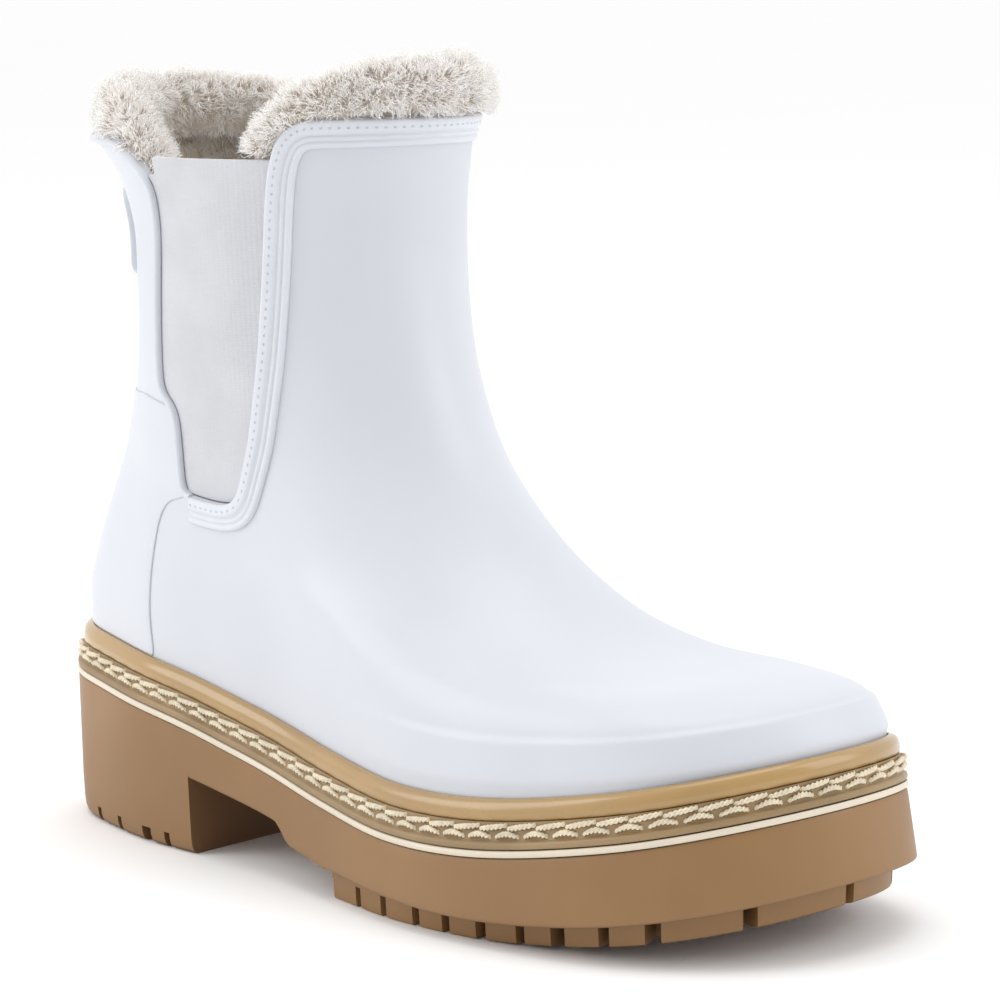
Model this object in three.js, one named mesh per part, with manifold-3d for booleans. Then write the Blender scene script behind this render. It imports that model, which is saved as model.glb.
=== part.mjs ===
// Right-foot chelsea rain boot with a lug sole, a stitched welt, elastic side gores and a shearling cuff.
// Millimetres, +Z up, toe towards +X, outer (lateral) side towards -Y.
// The origin is on the floor, under the middle of the heel block.

import * as THREE from "three";
import { mergeVertices } from "three/addons/utils/BufferGeometryUtils.js";
import Module from "manifold-3d";

const wasm = await Module();
wasm.setup();

// Driving sizes of the sole
const soleLength = 279;
const ballWidth = 104.4; // across the stripe at the ball of the foot
const heelSeam = 44; // floor to stripe at the back of the heel
const ballSeam = 22; // floor to stripe under the ball
const toeSeamRise = 16.5; // extra height of the stripe at the toe tip
const toeSpring = 12.5; // floor to tread at the toe tip
const springStart = 0.68; // share of the length where the tread leaves the floor
const heelBlockLength = 76;
const breastHeight = 22; // height of the arch at the front of the heel block
const archFrontHeight = 8.5; // height of the wall's lower edge where the tread starts
const archStepAt = 119; // the arch steps down here, from the back of the sole
const archStep = 4.5;
const treadStart = 140; // from the back of the sole
const lugDepth = 6.3;
const heelLugDepth = 4.6;
const soleFlare = 2.6; // the forefoot wall leans out by this much towards the floor
const treadInset = 4; // the lugs stand this far inside the wall round the toe
const treadInsetRear = 1.4; // and this far at the waist
const soleChamfer = 1.2;
const gap = 0.3; // clearance between touching pieces

// Driving sizes of the welt, from the middle of the stripe upwards
const stripeThickness = 1.8;
const stripeProud = 0.25;
const weltHeight = 7; // stitched part
const randHeight = 5.2; // glossy roll over it
const upperInset = 5; // from the stripe's edge to the upper's outer face
const insoleThickness = 4;

// Driving sizes of the upper
const upperWall = 2.5;
const collarHeight = 206; // floor to the front collar edge
const shaftWidth = 81;
const backEdgeDrop = 6; // the back panel's edge lies this much under the front one's
const goreBack = 69; // from the back of the sole
const goreWidth = 40;
const goreFoot = 100; // from the floor
const goreDrop = 11; // from the collar edge down to the elastic's top
const goreTop = collarHeight - goreDrop;
const goreThickness = 1.6;
const goreRecess = 0.7; // the elastic lies this much under the upper's outer face
const trimWidth = 7.5;
const trimThickness = 1;
const ribWidth = 3; // of the raised rib along the trim's inner edge
const ribHeight = 0.7;
const counterTop = 128;
const counterThickness = 1.1;
const tabDrop = 46; // from the collar edge down to the tab's foot
const tabFoot = collarHeight - tabDrop;
const tabHeight = 26;
const tabWidth = 44;
const tabThickness = 2;
const bumperStep = 0.8; // the toe bumper stands this proud
const furRise = 7; // middle of the fur roll above the collar edge
const furRadius = 9; // at the middle of a cuff
const furEndShare = 0.8; // of that radius at a cuff's ends
const furInset = 4; // middle of the fur roll inside the upper's outer face

const ringPoints = 48; // points round the sole and the upper's outer face
const liningPoints = 24; // points round the upper's inner face
const outerLevels = [
  0, 0.08, 0.105, 0.15, 0.18, 0.2, 0.22, 0.26, 0.31, 0.37, 0.43, 0.49, 0.55, 0.63, 0.71, 0.79, 0.87, 0.935, 1,
];
const innerLevels = [0, 0.1, 0.2, 0.3, 0.4, 0.5, 0.6, 0.7, 0.8, 0.9, 1];

// The outline of the sole at the stripe. fullness is the half width over that of an ellipse,
// centre is the swing of the centre line towards the big toe. Both are shares of half the ball width.
const outlineTable = [
  { along: 0.0, centre: -0.018, fullness: 1.314 },
  { along: 0.1, centre: 0.007, fullness: 1.038 },
  { along: 0.2, centre: -0.028, fullness: 0.889 },
  { along: 0.3, centre: -0.045, fullness: 0.785 },
  { along: 0.4, centre: -0.056, fullness: 0.757 },
  { along: 0.5, centre: -0.066, fullness: 0.829 },
  { along: 0.6, centre: -0.054, fullness: 0.965 },
  { along: 0.7, centre: -0.021, fullness: 1.091 },
  { along: 0.8, centre: 0.007, fullness: 1.205 },
  { along: 0.9, centre: 0.042, fullness: 1.386 },
  { along: 1.0, centre: 0.155, fullness: 1.686 },
];

// Side profile of the sole. heelRise is a share of the drop from heel to ball, toeLift a share of the stripe's rise
// at the toe and flare a share of the wall's lean.
const profileTable = [
  { along: 0.0, heelRise: 1.0, toeLift: 0.0, flare: 0.0 },
  { along: 0.12, heelRise: 0.905, toeLift: 0.0, flare: 0.0 },
  { along: 0.24, heelRise: 0.732, toeLift: 0.0, flare: 0.0 },
  { along: 0.36, heelRise: 0.445, toeLift: 0.0, flare: 0.3 },
  { along: 0.48, heelRise: 0.168, toeLift: 0.0, flare: 0.8 },
  { along: 0.6, heelRise: 0.005, toeLift: 0.01, flare: 1.0 },
  { along: 0.72, heelRise: 0.0, toeLift: 0.09, flare: 1.0 },
  { along: 0.86, heelRise: 0.0, toeLift: 0.46, flare: 1.0 },
  { along: 1.0, heelRise: 0.0, toeLift: 1.0, flare: 1.0 },
];

// Sections of the upper, each a slanting ring from the heel to the vamp or shin.
// back and front are shares of the sole's length. backUp and frontUp are shares of the way from the stripe
// to the collar. sole is the share of the sole's own outline in the ring, and the rest is an oval whose half
// width at the rear, middle and front is a share of half the shaft's width. centre is the oval's sideways shift
// as a share of the same.
const upperTable = [
  { back: 0.018, backUp: 0.0, front: 0.982, frontUp: 0.0, sole: 1.0, rear: 1.0, middle: 1.0, fore: 1.0, centre: 0.0 },
  { back: 0.018, backUp: 0.08, front: 0.982, frontUp: 0.071, sole: 1.0, rear: 1.0, middle: 1.0, fore: 1.0, centre: 0.0 },
  { back: 0.018, backUp: 0.15, front: 0.974, frontUp: 0.112, sole: 0.97, rear: 1.0, middle: 1.0, fore: 1.0, centre: 0.0 },
  { back: 0.03, backUp: 0.215, front: 0.954, frontUp: 0.152, sole: 0.9, rear: 0.98, middle: 0.95, fore: 1.0, centre: 0.0 },
  { back: 0.043, backUp: 0.28, front: 0.9, frontUp: 0.184, sole: 0.72, rear: 0.95, middle: 0.907, fore: 0.971, centre: 0.01 },
  { back: 0.055, backUp: 0.34, front: 0.82, frontUp: 0.21, sole: 0.5, rear: 0.93, middle: 0.891, fore: 0.928, centre: 0.02 },
  { back: 0.067, backUp: 0.4, front: 0.728, frontUp: 0.26, sole: 0.28, rear: 0.92, middle: 0.873, fore: 0.884, centre: 0.03 },
  { back: 0.077, backUp: 0.46, front: 0.63, frontUp: 0.35, sole: 0.12, rear: 0.93, middle: 0.886, fore: 0.87, centre: 0.04 },
  { back: 0.088, backUp: 0.525, front: 0.553, frontUp: 0.47, sole: 0.0, rear: 0.95, middle: 0.908, fore: 0.874, centre: 0.05 },
  { back: 0.1, backUp: 0.6, front: 0.508, frontUp: 0.595, sole: 0.0, rear: 0.98, middle: 0.949, fore: 0.917, centre: 0.06 },
  { back: 0.107, backUp: 0.7, front: 0.489, frontUp: 0.72, sole: 0.0, rear: 1.0, middle: 0.981, fore: 0.962, centre: 0.06 },
  { back: 0.104, backUp: 0.815, front: 0.485, frontUp: 0.85, sole: 0.0, rear: 1.01, middle: 1.003, fore: 1.005, centre: 0.06 },
  { back: 0.076, backUp: 0.925, front: 0.495, frontUp: 0.93, sole: 0.0, rear: 1.16, middle: 1.025, fore: 1.008, centre: 0.06 },
  { back: 0.004, backUp: 1.03, front: 0.512, frontUp: 1.03, sole: 0.0, rear: 1.56, middle: 1.058, fore: 1.031, centre: 0.06 },
];

// A smooth curve through one column of a table, read at a place along its first column.
function column(table, key, name, place) {
  const last = table.length - 1;
  let i = 0;
  while (i < last - 1 && place > table[i + 1][key]) i += 1;
  const slope = (a, b) => (table[b][name] - table[a][name]) / (table[b][key] - table[a][key]);
  const start = slope(Math.max(i - 1, 0), i + 1);
  const end = slope(i, Math.min(i + 2, last));
  const span = table[i + 1][key] - table[i][key];
  const t = THREE.MathUtils.clamp((place - table[i][key]) / span, 0, 1);
  const rise = t * t * (3 - 2 * t);
  const low = table[i][name];
  const high = table[i + 1][name];
  return low + (high - low) * rise + span * (start * t * (1 - t) ** 2 - end * t * t * (1 - t));
}

const outlineAt = (along, name) => column(outlineTable, "along", name, along);
const profileAt = (x, name) => column(profileTable, "along", name, THREE.MathUtils.clamp(x / soleLength, 0, 1));

// Heights of the sole at a distance x from its back.
const seamHeight = (x) =>
  ballSeam + (heelSeam - ballSeam) * profileAt(x, "heelRise") + toeSeamRise * profileAt(x, "toeLift");
const treadHeight = (x) => toeSpring * (Math.max(x / soleLength - springStart, 0) / (1 - springStart)) ** 2;

function wallFoot(x) {
  const ball = lugDepth + treadHeight(x);
  const archShare = THREE.MathUtils.clamp((x - heelBlockLength) / (treadStart - heelBlockLength), 0, 1);
  const step = archStep * (1 - THREE.MathUtils.smoothstep(x, archStepAt - 4, archStepAt + 4));
  const arch = THREE.MathUtils.lerp(breastHeight - archStep, archFrontHeight, archShare) + step;
  return THREE.MathUtils.lerp(arch, ball, THREE.MathUtils.smoothstep(x, treadStart + 2, treadStart + 48));
}

// The sole's outline at the stripe, and the same moved in or out along its normal.
function outlinePoint(turn) {
  const along = (1 - Math.cos(turn)) / 2;
  const half = ballWidth / 2;
  const y = half * (outlineAt(along, "centre") - Math.sin(turn) * outlineAt(along, "fullness"));
  return new THREE.Vector2(along * soleLength, y);
}

function outlineEdge(turn, inset) {
  const step = 0.02;
  const along = outlinePoint(turn + step).sub(outlinePoint(turn - step)).normalize();
  return outlinePoint(turn).add(new THREE.Vector2(-along.y, along.x).multiplyScalar(inset));
}

const turnsOf = (count) => Array.from({ length: count }, (_, j) => (2 * Math.PI * j) / count);
const turns = turnsOf(ringPoints);

// A ring of points round the sole. inset and height may be numbers or functions of x.
function soleRing(inset, height) {
  const at = (value, x) => (typeof value === "function" ? value(x) : value);
  return turns.map((turn) => {
    const x = outlinePoint(turn).x;
    const p = outlineEdge(turn, at(inset, x));
    return new THREE.Vector3(p.x, p.y, at(height, p.x));
  });
}

// A closed solid from points in rings. Rings are joined in order, and the ends are capped by ladders
// across each ring, or the last ring joins the first when looped is true.
function ringSolid(rings, looped = false) {
  const count = rings[0].length;
  const corners = [];
  const place = (k, j) => (k % rings.length) * count + ((j + count) % count);
  const spans = looped ? rings.length : rings.length - 1;
  for (let k = 0; k < spans; k += 1) {
    for (let j = 0; j < count; j += 1) {
      corners.push(place(k, j), place(k, j + 1), place(k + 1, j + 1));
      corners.push(place(k, j), place(k + 1, j + 1), place(k + 1, j));
    }
  }
  const ladder = (k, flip) => {
    for (let j = 0; j < count / 2; j += 1) {
      const quad = [place(k, j), place(k, -j), place(k, -j - 1), place(k, j + 1)];
      const faces = [[0, 1, 2], [0, 2, 3]].map((face) => face.map((corner) => quad[corner]));
      faces
        .filter((face) => new Set(face).size === 3)
        .forEach((face) => corners.push(...(flip ? face.reverse() : face)));
    }
  };
  if (!looped) {
    ladder(0, false);
    ladder(rings.length - 1, true);
  }
  const positions = new Float32Array(rings.flat().flatMap((p) => p.toArray()));
  return outward(new wasm.Manifold(new wasm.Mesh({
    numProp: 3,
    vertProperties: positions,
    triVerts: new Uint32Array(corners),
  })));
}

// Turns a solid right side out if its faces point in.
function outward(solid) {
  if (solid.volume() > 0) return solid;
  const mesh = solid.getMesh();
  const triVerts = mesh.triVerts.slice();
  for (let i = 0; i < triVerts.length; i += 3) [triVerts[i], triVerts[i + 1]] = [triVerts[i + 1], triVerts[i]];
  return new wasm.Manifold(new wasm.Mesh({ numProp: 3, vertProperties: mesh.vertProperties.slice(), triVerts }));
}

// A manifold solid from a three.js geometry.
function solidOf(geometry) {
  const bare = geometry.index ? geometry.toNonIndexed() : geometry.clone();
  bare.deleteAttribute("normal");
  bare.deleteAttribute("uv");
  const merged = mergeVertices(bare, 1e-4);
  return outward(new wasm.Manifold(new wasm.Mesh({
    numProp: 3,
    vertProperties: merged.attributes.position.array,
    triVerts: new Uint32Array(merged.index.array),
  })));
}

// A block between two corners.
function block(low, high) {
  const size = new THREE.Vector3(...high).sub(new THREE.Vector3(...low));
  const middle = new THREE.Vector3(...low).addScaledVector(size, 0.5);
  return solidOf(new THREE.BoxGeometry(size.x, size.y, size.z).translate(middle.x, middle.y, middle.z));
}

// A side-view shape in X and Z carried right through the boot along Y, or through one side of it.
const throughWidth = 200;
function sidePrism(shape, fromY = -throughWidth / 2, toY = throughWidth / 2) {
  const solid = new THREE.ExtrudeGeometry(shape, { depth: toY - fromY, bevelEnabled: false, curveSegments: 6 });
  solid.rotateX(Math.PI / 2);
  solid.translate(0, toY, 0);
  return solidOf(solid);
}

function shapeOf(points) {
  return new THREE.Shape(points.map(([x, z]) => new THREE.Vector2(x, z)));
}

// Lugs: upright slots cut in from the tread's edge
const slotReach = 12;
const treadSlots = [
  { turn: 1.57, width: 2.4 }, { turn: 1.665, width: 2.4 }, { turn: 1.75, width: 2.4 },
  { turn: 1.845, width: 2.6 }, { turn: 1.925, width: 2.6 }, { turn: 2.016, width: 3.2 },
  { turn: 2.117, width: 2.6 }, { turn: 2.215, width: 4.2 }, { turn: 2.341, width: 3.0 },
  { turn: 2.48, width: 4.2 }, { turn: 2.76, width: 3.8 }, { turn: 3.105, width: 3.0 },
  { turn: 3.45, width: 3.8 }, { turn: 3.72, width: 4.2 }, { turn: 3.88, width: 3.0 },
  { turn: 4.02, width: 4.2 }, { turn: 4.14, width: 2.6 }, { turn: 4.25, width: 3.2 },
  { turn: 4.35, width: 2.6 }, { turn: 4.44, width: 2.6 }, { turn: 4.53, width: 2.4 }, { turn: 4.62, width: 2.4 },
];
const heelSlots = [
  { turn: 0.62, width: 2.4 }, { turn: 0.77, width: 2.4 }, { turn: 0.92, width: 4.4 }, { turn: 1.006, width: 2.4 },
  { turn: 5.66, width: 2.4 }, { turn: 5.51, width: 2.4 }, { turn: 5.36, width: 4.4 }, { turn: 5.277, width: 2.4 },
];

function edgeSlot({ turn, width }, edgeInset, depth, roof) {
  const outer = outlineEdge(turn, edgeInset);
  const inner = outlineEdge(turn, edgeInset + depth);
  const heading = Math.atan2(inner.y - outer.y, inner.x - outer.x);
  const reach = depth + edgeInset + soleFlare + 4;
  const slot = new THREE.BoxGeometry(reach, width, 2 * roof);
  slot.translate(depth - reach / 2, 0, 0);
  slot.rotateZ(heading);
  slot.translate(outer.x, outer.y, 0);
  return solidOf(slot);
}

// Outsole: wall, heel block, tread and lugs in one moulding
const lugInset = (x) =>
  THREE.MathUtils.lerp(treadInsetRear, treadInset, THREE.MathUtils.smoothstep(x, treadStart + 20, treadStart + 80));

function outsole() {
  const flare = (x) => -soleFlare * profileAt(x, "flare");
  const seamGap = stripeThickness / 2 + gap;
  const wall = ringSolid([
    soleRing((x) => flare(x) + soleChamfer, wallFoot),
    soleRing(flare, (x) => wallFoot(x) + soleChamfer),
    soleRing(0, (x) => seamHeight(x) - seamGap),
  ]);
  const heelTop = breastHeight + soleChamfer + 1;
  const heelCorner = [
    { inset: 3.2, up: 0 },
    { inset: 1.4, up: 1.1 },
    { inset: 0.6, up: 3.4 },
    { inset: 0, up: heelTop },
  ];
  const heel = ringSolid(heelCorner.map(({ inset, up }) => soleRing(inset, up)))
    .intersect(block([-10, -throughWidth / 2, -1], [heelBlockLength, throughWidth / 2, heelTop + 1]));
  const tread = ringSolid([
    soleRing(lugInset, treadHeight),
    soleRing((x) => lugInset(x) - 0.4, (x) => wallFoot(x) + soleChamfer + 0.5),
  ]).intersect(block([treadStart, -throughWidth / 2, -1], [soleLength + 10, throughWidth / 2, breastHeight + 20]));
  let lugs = tread;
  for (const slot of treadSlots) {
    const lift = treadHeight(outlinePoint(slot.turn).x);
    lugs = lugs.subtract(edgeSlot(slot, treadInset, slotReach, lift + lugDepth - 0.6));
  }
  let heelBlock = heel;
  for (const slot of heelSlots) {
    heelBlock = heelBlock.subtract(edgeSlot(slot, 0, slotReach, heelLugDepth));
  }
  return wall.add(heelBlock).add(lugs.subtract(treadChannels()));
}

// Grooves across the middle of the tread, clear of the lugs at its edge
const channelPitch = 14;
const channelWidth = 3;
const channelDepth = 4.5;
function treadChannels() {
  const rows = Math.floor((soleLength - treadStart - 3 * slotReach) / channelPitch);
  let grooves = null;
  for (let row = 0; row < rows; row += 1) {
    const x = treadStart + slotReach + (row + 0.5) * channelPitch;
    const turn = Math.acos(1 - (2 * x) / soleLength);
    const reach = -outlinePoint(turn).y - treadInset - slotReach - 4;
    const lift = treadHeight(x) + channelDepth;
    const bar = block([x - channelWidth / 2, -reach, -1], [x + channelWidth / 2, reach, lift]);
    grooves = grooves ? grooves.add(bar) : bar;
  }
  return grooves;
}

// The cream layer that shows as a stripe
function midsole() {
  const half = stripeThickness / 2;
  return ringSolid([
    soleRing(-stripeProud, (x) => seamHeight(x) - half),
    soleRing(-stripeProud, (x) => seamHeight(x) + half),
  ]);
}

// A strip with one cross-section all round the sole's edge: inset from the stripe's edge, up from its middle.
function edgeStrip(section) {
  return ringSolid(section.map(({ inset, up }) => soleRing(inset, (x) => seamHeight(x) + up)), true);
}

const weltFoot = stripeThickness / 2 + gap;
const weltTop = weltFoot + weltHeight;
const weltInner = upperInset - gap;

function welt() {
  return edgeStrip([
    { inset: weltInner, up: weltFoot },
    { inset: 0.1, up: weltFoot },
    { inset: 0, up: weltFoot + 2.6 },
    { inset: 0.9, up: weltFoot + 3.2 },
    { inset: 1.9, up: weltTop },
    { inset: weltInner, up: weltTop },
  ]);
}

function rand() {
  const foot = weltTop + gap;
  return edgeStrip([
    { inset: weltInner, up: foot },
    { inset: 3, up: foot },
    { inset: 2.3, up: foot + 0.25 * randHeight },
    { inset: 2.4, up: foot + 0.65 * randHeight },
    { inset: 3.4, up: foot + 0.97 * randHeight },
    { inset: weltInner, up: foot + randHeight },
  ]);
}

function insole() {
  const inset = upperInset + upperWall + 6 * gap;
  return ringSolid([
    soleRing(inset, (x) => seamHeight(x) + weltFoot),
    soleRing(inset, (x) => seamHeight(x) + weltFoot + insoleThickness),
  ]);
}

// The upper's outer face
const sectionRows = upperTable.map((row, i) => ({ ...row, level: i / (upperTable.length - 1) }));
const sectionAt = (level, name) => column(sectionRows, "level", name, level);

function upperFace(level, turn) {
  const along = (1 - Math.cos(turn)) / 2;
  const at = (name) => sectionAt(level, name);
  const soleShare = THREE.MathUtils.clamp(at("sole"), 0, 1);
  const edge = outlineEdge(turn, upperInset);
  const straight = THREE.MathUtils.lerp(upperInset, soleLength - upperInset, along);
  const x = soleLength * THREE.MathUtils.lerp(at("back"), at("front"), along) + soleShare * (edge.x - straight);
  const oval = along < 0.5
    ? THREE.MathUtils.lerp(at("rear"), at("middle"), 2 * along)
    : THREE.MathUtils.lerp(at("middle"), at("fore"), 2 * along - 1);
  const ovalY = (shaftWidth / 2) * (at("centre") - Math.sin(turn) * oval);
  const y = THREE.MathUtils.lerp(ovalY, edge.y, soleShare);
  const up = THREE.MathUtils.lerp(at("backUp"), at("frontUp"), along);
  const foot = THREE.MathUtils.lerp(seamHeight(x), ballSeam, Math.min(up, 1)) + weltFoot;
  return new THREE.Vector3(x, y, foot + up * (collarHeight - ballSeam));
}

function faceNormal(level, turn) {
  const step = 0.01;
  const low = Math.max(level - step, 0);
  const high = Math.min(level + step, 1);
  const round = upperFace(level, turn + step).sub(upperFace(level, turn - step));
  const up = upperFace(high, turn).sub(upperFace(low, turn));
  return round.cross(up).normalize();
}

// The toe bumper: a soft step in the wall between two sections, over the rand and in front of the waist
function bumper(level, x) {
  const foot = THREE.MathUtils.smoothstep(level, 0.08, 0.105);
  const top = 1 - THREE.MathUtils.smoothstep(level, 0.18, 0.22);
  return bumperStep * foot * top * THREE.MathUtils.smoothstep(x / soleLength, 0.5, 0.66);
}

// The solid inside the upper's face moved outwards by offset. overrun carries it past both ends.
function faceSolid(offset, { levels = outerLevels, points = ringPoints, overrun = 0, proud = true } = {}) {
  const rings = levels.map((level) => turnsOf(points).map((turn) => {
    const p = upperFace(level, turn);
    const step = proud ? bumper(level, p.x) : 0;
    return p.addScaledVector(faceNormal(level, turn), offset + step);
  }));
  const shifted = (ring, by) => ring.map((p) => p.clone().setZ(p.z + by));
  if (overrun > 0) {
    rings.unshift(shifted(rings[0], -overrun));
    rings.push(shifted(rings[rings.length - 1], overrun));
  }
  return ringSolid(rings);
}

const layer = (from, to) => faceSolid(to).subtract(faceSolid(from, { overrun: 5 }));

// The edge of the opening in side view, from the back panel's edge down round the gore and up to the front
// collar edge. across is a share of the gore's width from its back edge, up a share of its height.
const openingTable = [
  { across: -4, up: 1.053 },
  { across: -0.75, up: 1.053 },
  { across: -0.5, up: 1.045 },
  { across: -0.3, up: 1.01 },
  { across: -0.13, up: 0.95 },
  { across: -0.04, up: 0.88 },
  { across: -0.07, up: 0.69 },
  { across: -0.15, up: 0.48 },
  { across: -0.19, up: 0.34 },
  { across: -0.14, up: 0.3 },
  { across: -0.04, up: 0.27 },
  { across: 0.0, up: 0.22 },
  { across: 0.0, up: 0.06 },
  { across: 0.03, up: 0.02 },
  { across: 0.1, up: 0.01 },
  { across: 0.45, up: 0.0 },
  { across: 0.6, up: 0.01 },
  { across: 0.68, up: 0.035 },
  { across: 0.73, up: 0.09 },
  { across: 0.8, up: 0.24 },
  { across: 0.88, up: 0.46 },
  { across: 0.94, up: 0.7 },
  { across: 0.98, up: 0.9 },
  { across: 1.02, up: 1.0 },
  { across: 1.09, up: 1.07 },
  { across: 1.2, up: 1.107 },
  { across: 1.35, up: 1.116 },
  { across: 6, up: 1.116 },
];
const above = collarHeight + 60;

// The region over and inside that edge, with the edge moved outwards from the opening by grow.
function opening(grow) {
  const goreHeight = goreTop - goreFoot;
  const edge = openingTable.map(({ across, up }) =>
    new THREE.Vector2(goreBack + across * goreWidth, goreFoot + up * goreHeight));
  const moved = edge.map((p, i) => {
    const before = edge[Math.max(i - 1, 0)];
    const after = edge[Math.min(i + 1, edge.length - 1)];
    const along = after.clone().sub(before).normalize();
    return p.clone().add(new THREE.Vector2(along.y, -along.x).multiplyScalar(grow));
  });
  const first = moved[0];
  const last = moved[moved.length - 1];
  return new THREE.Shape([new THREE.Vector2(first.x, above), ...moved, new THREE.Vector2(last.x, above)]);
}

function upper() {
  const inside = faceSolid(-upperWall, { levels: innerLevels, points: liningPoints, overrun: 5, proud: false });
  return faceSolid(0).subtract(inside).subtract(sidePrism(opening(0)));
}

// Elastic gore: a recessed panel that fills the opening up to its own top edge
function gore(side) {
  const overGore = block([-50, -throughWidth, goreTop], [2 * soleLength, throughWidth, above + 5]);
  const behind = block([-50, -throughWidth, goreTop - 0.13 * goreWidth], [goreBack + 3, throughWidth, above + 5]);
  const half = side < 0 ? [-throughWidth / 2, -5] : [5, throughWidth / 2];
  return layer(-goreRecess - goreThickness, -goreRecess)
    .intersect(sidePrism(opening(-gap), ...half))
    .subtract(overGore)
    .subtract(behind);
}

// Trim: a flat band with a raised rib, round the front collar edge and the gore, down to the counter's seam
function trim() {
  const edge = sidePrism(opening(gap));
  const band = sidePrism(opening(trimWidth)).subtract(edge);
  const rib = sidePrism(opening(ribWidth + gap)).subtract(edge);
  const front = sidePrism(shapeOf([
    [goreBack + 0.12 * goreWidth, 0], [goreBack + 0.12 * goreWidth, goreFoot + 4],
    [goreBack + 0.5 * goreWidth, goreFoot + 0.3 * (goreTop - goreFoot)], [goreBack + 0.9 * goreWidth, above],
    [2 * soleLength, above], [2 * soleLength, 0],
  ]));
  return layer(gap, gap + trimThickness).intersect(band)
    .add(layer(gap, gap + trimThickness + ribHeight).intersect(rib))
    .intersect(front);
}

// Heel counter: a raised panel round the heel, under the back panel and behind the gore
function counter() {
  const shape = shapeOf([
    [-50, 0], [56, 0], [56.5, 52], [54.5, 65], [55, 76], [56.6, 87], [58.3, 94], [62, 98.5], [goreBack, goreFoot],
    [goreBack + 10, goreFoot + 4], [goreBack + 10, counterTop], [goreBack - 10, counterTop + 0.5],
    [40, counterTop - 1], [-50, counterTop - 2],
  ]);
  const overRand = (x) => seamHeight(x) + weltTop + randHeight + 2 * gap;
  const foot = ringSolid([soleRing(-8, 0), soleRing(-8, overRand)]);
  return layer(gap, gap + counterThickness)
    .intersect(sidePrism(shape))
    .subtract(sidePrism(opening(gap)))
    .subtract(foot);
}

// Bare tab on the back panel
function backTab() {
  const middle = (shaftWidth / 2) * sectionAt(0.8, "centre");
  const reach = block([-50, middle - tabWidth / 2, tabFoot], [goreBack - 12, middle + tabWidth / 2, tabFoot + tabHeight]);
  return layer(gap, gap + tabThickness).intersect(reach);
}

// Shearling: a lumpy roll along a stretch of the collar edge, with locks fused on
const rollSides = 7;
const lockRows = [
  { lean: -0.95, start: 1 },
  { lean: 0.0, start: 2 },
  { lean: 0.95, start: 1 },
];

function collarPoint(turn, edge) {
  let low = 0.5;
  let high = 1;
  for (let i = 0; i < 24; i += 1) {
    const middle = (low + high) / 2;
    if (upperFace(middle, turn).z < edge) low = middle;
    else high = middle;
  }
  return { place: upperFace(low, turn), out: faceNormal(low, turn).setZ(0).normalize() };
}

function furRoll({ halfTurn, middleTurn, steps, edge, droop, inset }) {
  const up = new THREE.Vector3(0, 0, 1);
  const spine = Array.from({ length: steps + 1 }, (_, i) => {
    const side = (2 * i) / steps - 1;
    const { place, out } = collarPoint(middleTurn + side * halfTurn, edge);
    const middle = place.addScaledVector(out, -inset).addScaledVector(up, furRise - droop * side ** 4);
    const swell = 1 + 0.08 * Math.sin(9.1 * i) + 0.05 * Math.sin(4.3 * i + 1);
    const size = furRadius * THREE.MathUtils.lerp(1, furEndShare, side * side);
    return { middle, out, size: size * swell * Math.sqrt(1 - 0.6 * side ** 12) };
  });
  const rings = spine.map(({ middle, out, size }) => Array.from({ length: rollSides }, (_, j) => {
    const lean = (2 * Math.PI * j) / rollSides;
    return middle.clone().addScaledVector(out, size * Math.sin(lean)).addScaledVector(up, size * Math.cos(lean));
  }));
  let roll = ringSolid(rings);
  for (const { lean, start } of lockRows) {
    for (let i = start; i < steps; i += 3) {
      const { middle, out, size } = spine[i];
      const aim = out.clone().multiplyScalar(Math.sin(lean)).addScaledVector(up, Math.cos(lean));
      const tip = middle.clone().addScaledVector(aim, 0.55 * size);
      const lock = new THREE.IcosahedronGeometry(0.62 * size, 0).rotateZ(i).translate(tip.x, tip.y, tip.z);
      roll = roll.add(solidOf(lock));
    }
  }
  return roll;
}

// The room that the collar edge, its trim and the gores need under the fur
function collarRoom() {
  const under = block([-50, -throughWidth, 0], [2 * soleLength, throughWidth, goreTop + gap]);
  const wall = layer(-upperWall - 3 * gap, trimThickness + ribHeight + 2 * gap);
  return wall.subtract(sidePrism(opening(-gap))).add(wall.intersect(under));
}

function furFront() {
  const roll = { halfTurn: 0.92, middleTurn: Math.PI, steps: 14, edge: collarHeight, droop: 8, inset: furInset };
  return furRoll(roll).subtract(collarRoom());
}

function furBack() {
  const edge = collarHeight - backEdgeDrop;
  const roll = { halfTurn: 1.3, middleTurn: 0, steps: 16, edge, droop: 8, inset: 2 * furInset };
  return furRoll(roll).subtract(collarRoom());
}

const finishes = {
  gum: new THREE.MeshStandardMaterial({ color: 0xa07e5c, roughness: 0.6 }),
  cream: new THREE.MeshStandardMaterial({ color: 0xe6d9c4, roughness: 0.6 }),
  tan: new THREE.MeshStandardMaterial({ color: 0xa88a60, roughness: 0.55 }),
  amber: new THREE.MeshStandardMaterial({ color: 0xb98f52, roughness: 0.3 }),
  white: new THREE.MeshStandardMaterial({ color: 0xe6e8f0, roughness: 0.45 }),
  elastic: new THREE.MeshStandardMaterial({ color: 0xe0e1e3, roughness: 0.9 }),
  shearling: new THREE.MeshStandardMaterial({ color: 0xddd6cc, roughness: 1 }),
};

function meshOf(name, solid, material) {
  const { vertProperties, triVerts } = solid.getMesh();
  const geometry = new THREE.BufferGeometry();
  geometry.setAttribute("position", new THREE.BufferAttribute(vertProperties, 3));
  geometry.setIndex(new THREE.BufferAttribute(triVerts, 1));
  geometry.computeVertexNormals();
  const mesh = new THREE.Mesh(geometry, material);
  mesh.name = name;
  return mesh;
}

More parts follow.
